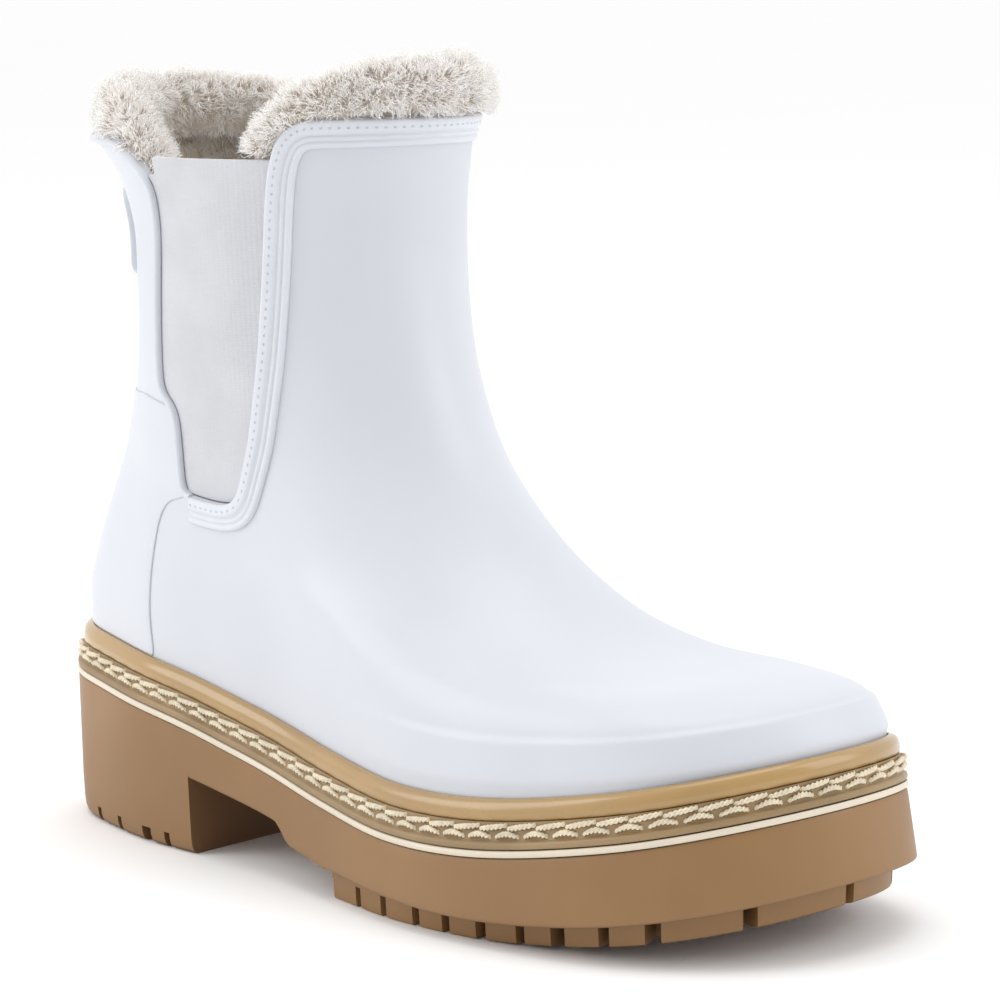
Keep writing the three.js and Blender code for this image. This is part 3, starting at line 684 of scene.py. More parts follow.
def settle_on_edge(places):
    """Moves traced places on to the edge."""
    level, turn = places[:, 0].copy(), places[:, 1].copy()
    for _ in range(3):
        here = from_opening(face(level, turn))
        by_level = (from_opening(face(np.clip(level + NUDGE, 0, 1), turn)) - here) / NUDGE
        by_turn = (from_opening(face(level, turn + NUDGE)) - here) / NUDGE
        up, across = slopes(level, turn)
        uu, ua, aa = dot(up, up), dot(up, across), dot(across, across)
        det = uu * aa - ua * ua
        dl, dt = (aa * by_level - ua * by_turn) / det, (uu * by_turn - ua * by_level) / det
        size = by_level * dl + by_turn * dt
        level, turn = level - dl * here / size, turn - dt * here / size
    return level, turn


def edge_strip(name, level, turn, outwards, section):
    """A closed strip along the opening's edge. section holds (distance from it, height over the face)."""
    run = run_along(face(level, turn))
    rows = []
    for distance, height in section:
        far_level, far_turn = walk(level, turn, outwards, np.full(level.shape, float(distance)))
        rows.append(face(far_level, far_turn) + face_normal(far_level, far_turn) * height)
    widths = np.array([distance for distance, _ in section] + [section[0][0]])
    strip = laid_sheet(name, np.array(rows), loop=True, uv=(run, widths))
    capped_ends(strip)
    return strip


def capped_ends(obj):
    """Closes the open ends of a strip."""
    focus(obj)
    bpy.ops.object.mode_set(mode="EDIT")
    bpy.ops.mesh.select_all(action="DESELECT")
    bpy.ops.mesh.select_non_manifold(extend=False, use_wire=False, use_boundary=True, use_multi_face=False,
                                     use_non_contiguous=False, use_verts=False)
    bpy.ops.mesh.fill()
    bpy.ops.mesh.select_all(action="SELECT")
    bpy.ops.mesh.normals_make_consistent(inside=False)
    bpy.ops.object.mode_set(mode="OBJECT")


# Materials

def feed(tree, target, value):
    """Links a node's output to a socket, or sets the socket's own value."""
    if isinstance(value, bpy.types.NodeSocket):
        tree.links.new(value, target)
    else:
        target.default_value = value


def node(tree, kind, links=None, **settings):
    """A node with its settings, its values and its incoming links."""
    made = tree.nodes.new(kind)
    for name, value in settings.items():
        setattr(made, name, value)
    for socket, value in (links or {}).items():
        feed(tree, made.inputs[socket], value)
    return made


def maths(tree, operation, *values, **settings):
    return node(tree, "ShaderNodeMath", dict(enumerate(values)), operation=operation, **settings).outputs[0]


def noise_at(tree, where, scale, detail):
    made = node(tree, "ShaderNodeTexNoise", {"Vector": where, "Scale": scale, "Detail": detail})
    return made.outputs["Fac"]


def ranged(tree, value, source, target, soft=False):
    """A value moved from the source's range to the target's."""
    ends = dict(zip(("From Min", "From Max", "To Min", "To Max"), (*source, *target)))
    made = node(tree, "ShaderNodeMapRange", {"Value": value, **ends},
                interpolation_type="SMOOTHSTEP" if soft else "LINEAR")
    return made.outputs["Result"]


def colour_mix(tree, share, first, second):
    made = node(tree, "ShaderNodeMix", {"Factor": share}, data_type="RGBA")
    for socket, value in zip([socket for socket in made.inputs if socket.type == "RGBA"], (first, second)):
        feed(tree, socket, value)
    return next(socket for socket in made.outputs if socket.type == "RGBA")


def bumped(tree, height):
    """The normal that a height in metres gives."""
    made = node(tree, "ShaderNodeBump", {"Height": height, "Strength": 1.0, "Distance": 1.0})
    return made.outputs["Normal"]


def wire(tree, shader, **links):
    for socket, value in links.items():
        tree.links.new(value, shader[socket.replace("_", " ")])


def new_group(name, inputs, outputs):
    group = bpy.data.node_groups.new(name, "ShaderNodeTree")
    for socket, kind, value in inputs:
        made = group.interface.new_socket(socket, in_out="INPUT", socket_type="NodeSocket" + kind)
        if value is not None:
            made.default_value = value
    for socket, kind in outputs:
        group.interface.new_socket(socket, in_out="OUTPUT", socket_type="NodeSocket" + kind)
    return group, group.nodes.new("NodeGroupInput").outputs, group.nodes.new("NodeGroupOutput").inputs


def mottle_group():
    """Two colours mixed in soft clouds and fine specks."""
    group, enter, leave = new_group(
        "Mottle", [("Vector", "Vector", None), ("Light", "Color", None), ("Dark", "Color", None),
                   ("Scale", "Float", 20.0), ("Speck", "Float", 0.1)],
        [("Color", "Color"), ("Cloud", "Float")])
    clouds = noise_at(group, enter["Vector"], enter["Scale"], 3.0)
    cloud = ranged(group, clouds, (0.3, 0.7), (0.0, 1.0), soft=True)
    speck = maths(group, "MULTIPLY", noise_at(group, enter["Vector"], 1400.0, 1.0), enter["Speck"])
    both = maths(group, "ADD", cloud, speck, use_clamp=True)
    wire(group, leave, Color=colour_mix(group, both, enter["Light"], enter["Dark"]), Cloud=cloud)


def grain_group():
    """A fine grain over soft waves, as moulded rubber has."""
    group, enter, leave = new_group(
        "Grain", [("Vector", "Vector", None), ("Fine", "Float", 900.0), ("Wave", "Float", 40.0),
                  ("Fine height", "Float", 0.00002), ("Wave height", "Float", 0.0002)],
        [("Normal", "Vector"), ("Height", "Float")])
    fine, wave = (
        maths(group, "MULTIPLY", noise_at(group, enter["Vector"], enter[name], detail),
              enter[name + " height"])
        for name, detail in (("Fine", 2.0), ("Wave", 1.0)))
    total = maths(group, "ADD", fine, wave)
    wire(group, leave, Normal=bumped(group, total), Height=total)


def rgba(colour, gain=1.0):
    return (*[min(max(channel * gain, 0.0), 1.0) for channel in colour], 1.0)


def shared(tree, name, *values):
    """A shared group in a material, with the material's own values in the order of the group's inputs."""
    made = node(tree, "ShaderNodeGroup", node_tree=bpy.data.node_groups[name])
    for socket, value in zip(made.inputs, values):
        feed(tree, socket, value)
    return made.outputs


def blank_material(name, **values):
    """A material whose shader holds the values that are the same all over."""
    material = bpy.data.materials.new(name)
    material.use_nodes = True
    tree = material.node_tree
    shader = tree.nodes["Principled BSDF"].inputs
    for socket, value in values.items():
        shader[socket.replace("_", " ")].default_value = value
    return material, tree, shader, tree.nodes.new("ShaderNodeTexCoord").outputs


def rubber(name, colour, dark_gain=0.9, cloud=18.0, speck=0.1, rough=(0.34, 0.46), fine=900.0,
           fine_height=0.00002, wave=45.0, wave_height=0.0002, **values):
    """Moulded rubber: clouded colour, uneven gloss and a fine grain."""
    material, tree, shader, place = blank_material(name, **values)
    where = place["Object"]
    tint = shared(tree, "Mottle", where, rgba(colour), rgba(colour, dark_gain), cloud, speck)
    grain = shared(tree, "Grain", where, fine, wave, fine_height, wave_height)
    wire(tree, shader, Base_Color=tint["Color"], Normal=grain["Normal"],
         Roughness=ranged(tree, tint["Cloud"], (0.0, 1.0), rough))
    return material, tree, shader, place, tint, grain


def colours():
    return bpy.context.scene.boot_colours


def sizes():
    return bpy.context.scene.boot_sizes


def shell_material():
    found = bpy.data.materials.get("white_rubber")
    if found:
        return found
    material, *_ = rubber(
        "white_rubber", colours().shell, dark_gain=0.965, cloud=14.0, speck=0.06, rough=(0.37, 0.47),
        fine=700.0, fine_height=sizes().rubber_grain, wave=28.0, wave_height=0.00035,
        Coat_Weight=0.18, Coat_Roughness=0.28)
    return material


def pile_material(name, light, dark, painted_glow):
    """Fur whose colour runs from root to tip along V and from hollow to crown along U: the dark roots and
    hollows are painted shade deep in the pile.
    """
    # The emission is painted light: the hairs glow a little in place of the light that passes through real
    # fibres.
    material, tree, shader, place = blank_material(
        name, Roughness=0.85, Sheen_Weight=0.6, Sheen_Roughness=0.5, Emission_Strength=painted_glow,
        Subsurface_Weight=0.6, Subsurface_Radius=(1.0, 0.85, 0.7), Subsurface_Scale=0.003)
    parts = node(tree, "ShaderNodeSeparateXYZ", {"Vector": place["UV"]}).outputs
    depth = maths(tree, "MULTIPLY", parts["X"], parts["Y"])
    patches = ranged(tree, noise_at(tree, place["Object"], 90.0, 2.0), (0.3, 0.7), (-0.18, 0.18))
    ramp = node(tree, "ShaderNodeValToRGB", {"Fac": maths(tree, "ADD", depth, patches, use_clamp=True)})
    for stop, position, colour in zip(ramp.color_ramp.elements, (0.02, 0.4), (dark, light)):
        stop.color, stop.position = rgba(colour), position
    wire(tree, shader, Base_Color=ramp.outputs["Color"], Emission_Color=ramp.outputs["Color"])
    return material


# Sole

def mark_underside(obj, most=0.75, heel_front=0.05):
    """Marks how far each face looks down or is the heel's breast, where shade is painted into the colour."""
    values = []
    for polygon in obj.data.polygons:
        down = float(ease(-polygon.normal.z, 0.3, 0.7))
        breast = polygon.normal.x > 0.9 and polygon.center.x < heel_front
        values.append(most * max(down, float(breast)))
    obj.data.attributes.new("underside", "FLOAT", "FACE").data.foreach_set("value", values)


def shade_under(tree, shader, tint):
    """Darkens the marked faces with painted shade."""
    mark = node(tree, "ShaderNodeAttribute", attribute_name="underside").outputs["Fac"]
    wire(tree, shader, Base_Color=colour_mix(tree, mark, tint["Color"], rgba(UNDER_SHADE)))


def sole_ring(turns, inset, height):
    x = outline(turns)[:, 0]
    spot = edge(turns, inset(x) if callable(inset) else np.full(len(turns), float(inset)))
    z = height(spot[:, 0]) if callable(height) else np.full(len(turns), float(height))
    return np.column_stack([spot, z])


def cutting_block(centre, size, heading=0.0):
    """A block that a cut takes away, half of it under the floor."""
    deselect()
    bpy.ops.mesh.primitive_cube_add(size=1, location=placed([*centre, 0.0]), rotation=(0, 0, heading),
                                    scale=[side * MM for side in size])
    bpy.ops.object.transform_apply(location=True, rotation=True, scale=True)
    return bpy.context.active_object


def slot_cutter(turn, width, inset, roof, depth=12.0):
    """A block that cuts one lug slot in from the sole's edge."""
    outer, inner = edge(np.array(turn), np.array(inset)), edge(np.array(turn), np.array(inset + depth))
    heading = math.atan2(inner[1] - outer[1], inner[0] - outer[0])
    reach = depth + inset + SOLE_FLARE + 4
    centre = outer + np.array([math.cos(heading), math.sin(heading)]) * (depth - reach / 2)
    return cutting_block(centre, (reach, width, 2 * roof), heading)


def carve(obj, cutters):
    tool = joined("slot_cutters", cutters)
    finish_with(obj, "BOOLEAN", operation="DIFFERENCE", object=tool, solver="EXACT", use_self=True)
    bpy.data.objects.remove(tool)


def wall_and_heel():
    """The sole's wall with the heel block, laid as one skin from the floor or the arch up to the stripe."""
    half = math.acos(1 - 2 * HEEL_BLOCK / SOLE_LENGTH)
    heel = np.linspace(0, half, 46)
    arch = np.linspace(half, math.pi, 116)
    one_side = np.concatenate([heel, arch])
    on_heel = np.concatenate([np.ones(len(heel), bool), np.zeros(len(arch), bool)])
    turns = np.concatenate([one_side, 2 * math.pi - one_side[-2:0:-1]])
    heeled = np.concatenate([on_heel, on_heel[-2:0:-1]])
    x = outline(turns)[:, 0]
    foot = np.where(heeled, 0.0, wall_foot(x))
    top = seam_height(x) - WELT_FOOT
    lean = -SOLE_FLARE * profile_at(x, 3)
    rows = []
    for (heel_in, heel_up), (wall_in, wall_up) in zip(HEEL_CORNER, WALL_CORNER):
        up = np.where(heeled, heel_up, wall_up)
        share = np.clip(up / (top - foot), 0, 1)
        inset = np.where(heeled, heel_in, wall_in) + np.where(heeled, 0, lean * (1 - share))
        rows.append(np.column_stack([edge(turns, inset), foot + up]))
    last_up = np.where(heeled, HEEL_CORNER[-1][1], WALL_CORNER[-1][1])
    for share in (0.25, 0.5, 0.75, 0.93):
        up = mix(last_up, top - foot, share)
        inset = np.where(heeled, 0.2 * (1 - share), lean * (1 - up / (top - foot)))
        rows.append(np.column_stack([edge(turns, inset), foot + up]))
    rows.append(np.column_stack([edge(turns, np.full(len(turns), 0.05)), top - 0.35]))
    rows.append(np.column_stack([edge(turns, np.full(len(turns), 0.35)), top]))
    return laid_sheet("outsole_wall", np.array(rows), wrap=True, capped=True)


def tread():
    """The lugs' base under the forefoot, inside the wall."""
    first = math.acos(1 - 2 * TREAD_START / SOLE_LENGTH)
    one_side = np.linspace(first, math.pi, 110)
    turns = np.concatenate([one_side, 2 * math.pi - one_side[-2::-1]])
    rows = [
        sole_ring(turns, lambda x: lug_inset(x) + 0.7, tread_height),
        sole_ring(turns, lambda x: lug_inset(x) + 0.2, lambda x: tread_height(x) + 0.25),
        sole_ring(turns, lug_inset, lambda x: tread_height(x) + 0.8),
        sole_ring(turns, lambda x: lug_inset(x) - 0.4, lambda x: wall_foot(x) + 1.5),
    ]
    base = laid_sheet("outsole_tread", np.array(rows), capped=True)
    capped_ends(base)
    return base


class BOOT_OT_outsole(bpy.types.Operator):
    """Lays the gum outsole: wall, heel block, tread and lugs"""
    bl_idname = "boot.outsole"
    bl_label = "Outsole"

    def execute(self, context):
        wall = wall_and_heel()
        carve(wall, [slot_cutter(turn, width, 0.0, HEEL_LUG_DEPTH) for turn, width in HEEL_SLOTS])
        lugs = tread()
        cutters = []
        for turn, width in TREAD_SLOTS:
            floor = float(tread_height(outline(np.array(turn))[0]))
            cutters.append(slot_cutter(turn, width, TREAD_INSET, floor + LUG_DEPTH - 0.6))
        carve(lugs, cutters)
        bars = []
        for row in range(CHANNELS):
            x = TREAD_START + 12 + (row + 0.5) * CHANNEL_PITCH
            side = float(outline(np.array(math.acos(1 - 2 * x / SOLE_LENGTH)))[1])
            reach = -side - TREAD_INSET - 16
            roof = float(tread_height(x)) + CHANNEL_DEPTH
            bars.append(cutting_block((x, 0.0), (CHANNEL_WIDTH, 2 * reach, 2 * roof)))
        carve(lugs, bars)
        sole = joined("gum_outsole", [wall, lugs])
        smooth(sole, 35)
        material, tree, shader, _, tint, _ = rubber(
            "gum_rubber", colours().gum, dark_gain=0.86, cloud=16.0, speck=0.12, rough=(0.46, 0.6),
            fine=1100.0, fine_height=0.00003, wave=60.0, wave_height=0.00025, Coat_Weight=0.08,
            Coat_Roughness=0.3)
        # Painted shade under the arch and on the heel's breast
        mark_underside(sole)
        shade_under(tree, shader, tint)
        settle(sole, material, "gum", "outsole")
        return {"FINISHED"}


def edge_band(name, section, count=320):
    """A closed band round the sole: section holds (inset, height over the stripe's middle)."""
    turns = np.linspace(0, 2 * math.pi, count, endpoint=False)
    rows = [sole_ring(turns, inset, lambda x, up=up: seam_height(x) + up) for inset, up in section]
    run = run_along(np.vstack([rows[0], rows[0][:1]]))
    ups = np.array([up for _, up in section] + [section[0][1]])
    band = laid_sheet(name, np.array(rows), wrap=True, loop=True, uv=(run, ups))
    smooth(band, 50)
    return band


class BOOT_OT_stripe(bpy.types.Operator):
    """Lays the cream stripe over the outsole"""
    bl_idname = "boot.stripe"
    bl_label = "Stripe"

    def execute(self, context):
        band = edge_band("cream_stripe", STRIPE_SECTION)
        material, *_ = rubber("cream_rubber", colours().stripe, dark_gain=0.93, cloud=30.0, rough=(0.4, 0.52))
        settle(band, material, "stripe", "midsole")
        return {"FINISHED"}


class BOOT_OT_welt(bpy.types.Operator):
    """Lays the welt with its stitching channel"""
    bl_idname = "boot.welt"
    bl_label = "Welt"

    def execute(self, context):
        band = edge_band("stitched_welt", WELT_SECTION)
        material, *_ = rubber(
            "welt_rubber", colours().welt, dark_gain=0.84, cloud=40.0, speck=0.15, rough=(0.42, 0.55),
            fine=1000.0, fine_height=0.00004, Coat_Weight=0.1, Coat_Roughness=0.3)
        settle(band, material, "welt", "welt")
        return {"FINISHED"}


class BOOT_OT_rand(bpy.types.Operator):
    """Lays the glossy amber rand over the welt"""
    bl_idname = "boot.rand"
    bl_label = "Rand"

    def execute(self, context):
        band = edge_band("amber_rand", RAND_SECTION)
        material, *_ = rubber(
            "amber_rubber", colours().rand, dark_gain=0.82, cloud=22.0, speck=0.04, rough=(0.2, 0.32),
            fine=500.0, fine_height=0.00001, wave=30.0, Coat_Weight=0.6, Coat_Roughness=0.12)
        settle(band, material, "rand", "rand")
        return {"FINISHED"}


def one_stitch(thread, rings=16, sides=5, plies=2, turns=3.4):
    """One thread of twisted plies, lying along X from 0 to 1, with its round section in millimetres."""
    parts = []
    for ply in range(plies):
        deselect()
        bpy.ops.mesh.primitive_cylinder_add(vertices=sides, radius=0.33 * thread, depth=1.0,
                                            location=(0, 0, 0.5))
        strand = bpy.context.active_object
        bpy.ops.object.transform_apply(location=True, rotation=True, scale=True)
        for k in range(1, rings):
            bpy.ops.object.mode_set(mode="EDIT")
            bpy.ops.mesh.select_all(action="SELECT")
            bpy.ops.mesh.bisect(plane_co=(0, 0, k / rings), plane_no=(0, 0, 1))
            bpy.ops.object.mode_set(mode="OBJECT")
        for corner in strand.data.vertices:
            along = corner.co.z
            angle = 2 * math.pi * (turns * along + ply / plies)
            offset = 0.2 * thread
            taper = 0.75 + 0.25 * math.sin(math.pi * along)
            corner.co = (along, (corner.co.x + offset * math.cos(angle)) * taper,
                         (corner.co.y + offset * math.sin(angle)) * taper)
        parts.append(strand)
    return joined("one_stitch", parts)


class BOOT_OT_stitches(bpy.types.Operator):
    """Sews the welt with two rows of twisted thread"""
    bl_idname = "boot.stitches"
    bl_label = "Welt stitches"

    def execute(self, context):
        thread = sizes().thread / MM
        model = one_stitch(thread)
        local = np.array([corner.co[:] for corner in model.data.vertices])
        faces = [tuple(polygon.vertices) for polygon in model.data.polygons]
        bpy.data.objects.remove(model)
        fine = np.linspace(0, 2 * math.pi, 4001)
        run = run_along(edge(fine, np.full(len(fine), 1.0)))
        count = round(run[-1] / (sizes().stitch_pitch / MM))
        pitch = run[-1] / count
        points, polygons = [], []

        def sew(centre, reach, height, rise, wave, inset, dip):
            """One stitch that slants by rise, bows up by wave and dips into its holes at both ends."""
            along = local[:, 0]
            turn = np.interp((centre + (along - 0.5) * reach * pitch) % run[-1], run, fine)
            bow = np.sin(math.pi * along)
            spot = edge(turn, inset - dip * bow ** STITCH_CURVE - local[:, 1])
            start = len(local) * len(points)
            up = height + rise * (along - 0.5) + wave * bow + local[:, 2]
            points.append(np.column_stack([spot, seam_height(spot[:, 0]) + up]))
            polygons.extend(tuple(start + corner for corner in polygon) for polygon in faces)

        for k in range(count):
            wobble = 0.12 * math.sin(5.1 * k)
            sew((k + 0.5) * pitch, 1.0, 6.75 + 0.5 * wobble, 0.9, 0.1, 2.0, 1.25)
            sew((k + 0.02) * pitch, 0.86, 4.2 + 0.4 * wobble, 0.0, 0.95, 1.8, 1.15)
        mesh = bpy.data.meshes.new("welt_stitches")
        mesh.from_pydata(placed(np.vstack(points)).tolist(), [], polygons)
        mesh.uv_layers.new(name="UVMap")
        obj = bpy.data.objects.new("welt_stitches", mesh)
        context.scene.collection.objects.link(obj)
        smooth(obj, 80)
        material, tree, shader, place = blank_material("twisted_thread", Roughness=0.75, Sheen_Weight=0.2)
        where, colour = place["Object"], colours().thread
        tint = shared(tree, "Mottle", where, rgba(colour), rgba(colour, 0.8), 300.0, 0.25)
        grain = shared(tree, "Grain", where, 3000.0, 900.0, 0.00005, 0.00004)
        wire(tree, shader, Base_Color=tint["Color"], Normal=grain["Normal"])
        settle(obj, material, "welt")
        return {"FINISHED"}


# Upper

def soft_relief(level, points):
    """The bumper's step and the soft crease over the instep."""
    x, z = points[..., 0], points[..., 2]
    crease = np.exp(-((z - CREASE_Z + CREASE_SLANT * (x - CREASE_X)) / CREASE_WIDTH) ** 2)
    return bumper(level, x) - CREASE_DEPTH * crease * ease(x, CREASE_X - 10, CREASE_X + 20)


def upper_levels():
    """Even levels, and closer ones at the bumper's upper edge."""
    plain = np.linspace(0, 1, 112)
    fine = np.linspace(0.183, 0.218, 8)
    return np.unique(np.concatenate([plain[(plain < 0.18) | (plain > 0.222)], fine]))


class BOOT_OT_upper(bpy.types.Operator):
    """Lays the hollow rubber upper"""
    bl_idname = "boot.upper"
    bl_label = "Upper"

    def execute(self, context):
        turns = np.linspace(0, 2 * math.pi, 236, endpoint=False)
        sheet = face_patch("rubber_upper", upper_levels(), turns, from_opening, 0.0, wrap=True,
                           relief=soft_relief)
        walled(sheet, UPPER_WALL, bevel=0.5, outwards=False)
        settle(sheet, shell_material(), "shell", "upper")
        return {"FINISHED"}


class BOOT_OT_counter(bpy.types.Operator):
    """Lays the heel counter and the bare tab over the back panel"""
    bl_idname = "boot.counter"
    bl_label = "Heel counter and tab"

    def execute(self, context):
        shape = rounded(COUNTER_EDGE, 2)

        def in_counter(points):
            over_rand = points[..., 2] - seam_height(points[..., 0]) - RAND_TOP - GAP
            clear = np.minimum(from_opening(points) - GAP, over_rand)
            return np.minimum(-side_distance(points, shape), clear)

        levels = np.linspace(0.04, 0.62, 72)
        turns = np.linspace(-1.5, 1.5, 140)
        counter = face_patch("heel_counter_panel", levels, turns, in_counter, offset=-0.12)
        walled(counter, thickness=0.6, bevel=0.28)
        settle(counter, shell_material(), "shell", "heel_counter")

        middle = SHAFT_WIDTH / 2 * UPPER[-1, -1]

        def in_tab(points, corner=5.0):
            across = TAB_WIDTH / 2 - np.abs(points[..., 1] - middle)
            up = (TAB_TOP - TAB_FOOT) / 2 - np.abs(points[..., 2] - (TAB_TOP + TAB_FOOT) / 2)
            inner = np.stack([corner - across, corner - up], -1).clip(0)
            return np.minimum(np.minimum(across, up), corner - np.linalg.norm(inner, axis=-1))

        tab = face_patch("bare_tab", np.linspace(0.66, 0.92, 60), np.linspace(-0.8, 0.8, 90), in_tab,
                         offset=-0.1)
        walled(tab, thickness=2.4, bevel=0.7, segments=3)
        settle(tab, shell_material(), "shell", "back_tab")
        return {"FINISHED"}


class BOOT_OT_trim(bpy.types.Operator):
    """Lays the trim with its ribs round the front collar and the gores, and the back panel's rolled edge"""
    bl_idname = "boot.trim"
    bl_label = "Collar trim"

    def execute(self, context):
        level, turn = settle_on_edge(trace_opening())
        points = face(level, turn)
        outwards = np.cross(np.gradient(points, axis=0), face_normal(level, turn))
        probe = walk(level, turn, outwards, np.full(level.shape, 1.0), 1)
        if np.median(from_opening(face(*probe))) < 0:
            outwards = -outwards
        low = (points[:, 2] < GORE_FOOT + 4) & (points[:, 0] > GORE_BACK + 0.12 * GORE_WIDTH)
        first = int(np.argmax(low & (points[:, 1] < 0)))
        last = len(points) - 1 - int(np.argmax((low & (points[:, 1] > 0))[::-1]))

        def strip(name, part, section):
            return edge_strip(name, level[part], turn[part], outwards[part], section)

        band = strip("collar_trim_band", slice(first, last + 1), TRIM_SECTION)
        smooth(band, 60)
        material, tree, shader, place, tint, grain = rubber(
            "trim_rubber", [1.08 * c for c in colours().shell], dark_gain=0.95, cloud=20.0, speck=0.05,
            rough=(0.36, 0.46), fine_height=sizes().rubber_grain, wave=60.0, Coat_Weight=0.2,
            Coat_Roughness=0.25)
        sew_dots(tree, shader, place, tint, grain)
        settle(band, material, "shell", "collar_trim")

        beads = joined("back_panel_edge", [
            strip("edge_bead", part, BEAD_SECTION) for part in (slice(0, first), slice(last + 1, None))])
        smooth(beads, 60)
        settle(beads, shell_material(), "shell")
        return {"FINISHED"}


def sew_dots(tree, shader, place, tint, grain, pitch=2.4, row=2.1):
    """A row of needle marks, from the trim's own UV: U runs along it and V across it, in millimetres. Each
    mark is dented and painted darker, as shade in the dent.
    """
    parts = node(tree, "ShaderNodeSeparateXYZ", {"Vector": place["UV"]}).outputs
    turn = maths(tree, "FRACT", maths(tree, "DIVIDE", parts["X"], pitch))
    along = maths(tree, "MULTIPLY", maths(tree, "SUBTRACT", turn, 0.5), 1.5)
    across = maths(tree, "SUBTRACT", parts["Y"], row)
    total = maths(tree, "ADD", maths(tree, "POWER", along, 2.0), maths(tree, "POWER", across, 2.0))
    mark = ranged(tree, maths(tree, "POWER", total, 0.5), (0.12, 0.34), (1.0, 0.0))
    height = maths(tree, "ADD", maths(tree, "MULTIPLY", mark, -0.0002), grain["Height"])
    # Painted shade: the marks are darker than the trim around them.
    wire(tree, shader, Normal=bumped(tree, height),
         Base_Color=colour_mix(tree, mark, tint["Color"], rgba(colours().shell, 0.86)))


class BOOT_OT_gores(bpy.types.Operator):
    """Lays the elastic gores"""
    bl_idname = "boot.gores"
    bl_label = "Elastic gores"

    def execute(self, context):
        def in_gore(points):
            inside_edge = -from_opening(points) - GAP
            under_top = GORE_TOP - points[..., 2]
            behind = np.maximum(points[..., 0] - GORE_BACK + WEB_BEHIND, under_top - WEB_STEP)
            return np.minimum(np.minimum(inside_edge, under_top), behind)

        material, tree, shader, place = blank_material("elastic_web", Sheen_Weight=0.15, Sheen_Roughness=0.4)
        where, colour = place["Object"], colours().elastic
        tint = shared(tree, "Mottle", where, rgba(colour), rgba(colour, 0.94), 60.0, 0.3)
        grain = shared(tree, "Grain", where, 2500.0, 120.0, 0.00006, 0.0001)
        parts = node(tree, "ShaderNodeSeparateXYZ", {"Vector": where}).outputs

        def threads(axis, pitch, height):
            swing = maths(tree, "SINE", maths(tree, "MULTIPLY", parts[axis], 2 * math.pi / pitch))
            return maths(tree, "MULTIPLY", swing, height)

        weave = maths(tree, "ADD", threads("X", 0.0016, 0.000022), threads("Z", 0.0007, 0.000012))
        web = maths(tree, "ADD", weave, grain["Height"])
        wire(tree, shader, Base_Color=tint["Color"], Normal=bumped(tree, web),
             Roughness=ranged(tree, tint["Cloud"], (0.0, 1.0), (0.78, 0.92)))
        for name, solid, low, high in (("elastic_outer", "gore_lateral", 0.6, 2.5),
                                       ("elastic_inner", "gore_medial", 3.8, 5.7)):
            panel = face_patch(name, np.linspace(0.42, 1.0, 120), np.linspace(low, high, 110), in_gore,
                               -WEB_DEPTH)
            walled(panel, WEB_THICKNESS, bevel=0.4, outwards=False)
            settle(panel, material, "elastic", solid)
        return {"FINISHED"}


# Fur

def collar_place(turn, height):
    """The face's point at a height above the collar's middle part, and the way out from it."""
    level = level_at(turn, height)
    out = face_normal(level, turn)
    out[..., 2] = 0
    return face(level, turn), unit(out)


def lumps(points, pitch, seed):
    """Soft uneven lumps between 0 and 1 at points in millimetres."""
    shift = Vector((seed * 3.7, seed * 1.3, seed * 2.1))
    flat = points.reshape(-1, 3)
    value = np.array([noise.noise(Vector(p) / pitch + shift) for p in flat])
    return (0.5 + 0.5 * value / 0.6).clip(0, 1).reshape(points.shape[:-1])


def cuff_surface(a, b, cuff):
    """A point on a cuff's plump roll: a runs along it from 0 to 1 and b round it from the top outwards."""
    side = 2 * a - 1
    outer = np.where(side * cuff["outer"] > 0, 1.0, 0.0)
    turn = cuff["middle"] + side * mix(cuff["half"], cuff["half_outer"], outer)
    place, out = collar_place(turn, cuff["edge"])
    up = np.array([0.0, 0.0, 1.0])
    drop = mix(cuff["droop"], cuff["droop_outer"], outer) * np.abs(side) ** 4
    middle = place - out * (cuff["inset"] + cuff["tuck"] * outer * side ** 2)[..., None]
    middle = middle + up * (cuff["rise"] - drop)[..., None]
    size = cuff["radius"] * (1 - 0.15 * side ** 2) * np.sqrt(np.clip(1 - np.abs(side) ** 12, 0, 1))
    return middle + out * (size * np.sin(b))[..., None] + up * (size * np.cos(b))[..., None]


class Hide:
    """A finely sampled ring of backing that hairs grow on."""

    def __init__(self, points, flip=False):
        along = np.gradient(points, axis=0)
        across = (np.roll(points, -1, 1) - np.roll(points, 1, 1)) / 2
        normal = np.cross(across, along)
        size = np.linalg.norm(normal, axis=-1, keepdims=True)
        self.area = size[..., 0]
        self.normal = normal / np.maximum(size, 1e-9) * (-1 if flip else 1)
        self.points = points

    def roots(self, count, rng, keep):
        weight = self.area * keep
        share = weight.ravel() / weight.sum()
        pick = rng.choice(len(share), size=count, p=share)
        spread = np.sqrt(self.area.ravel()[pick])[:, None]
        scatter = rng.normal(0, 0.5, (count, 3)) * spread
        normal = self.normal.reshape(-1, 3)[pick]
        scatter -= normal * dot(scatter, normal)[:, None]
        return self.points.reshape(-1, 3)[pick] + scatter, normal, pick


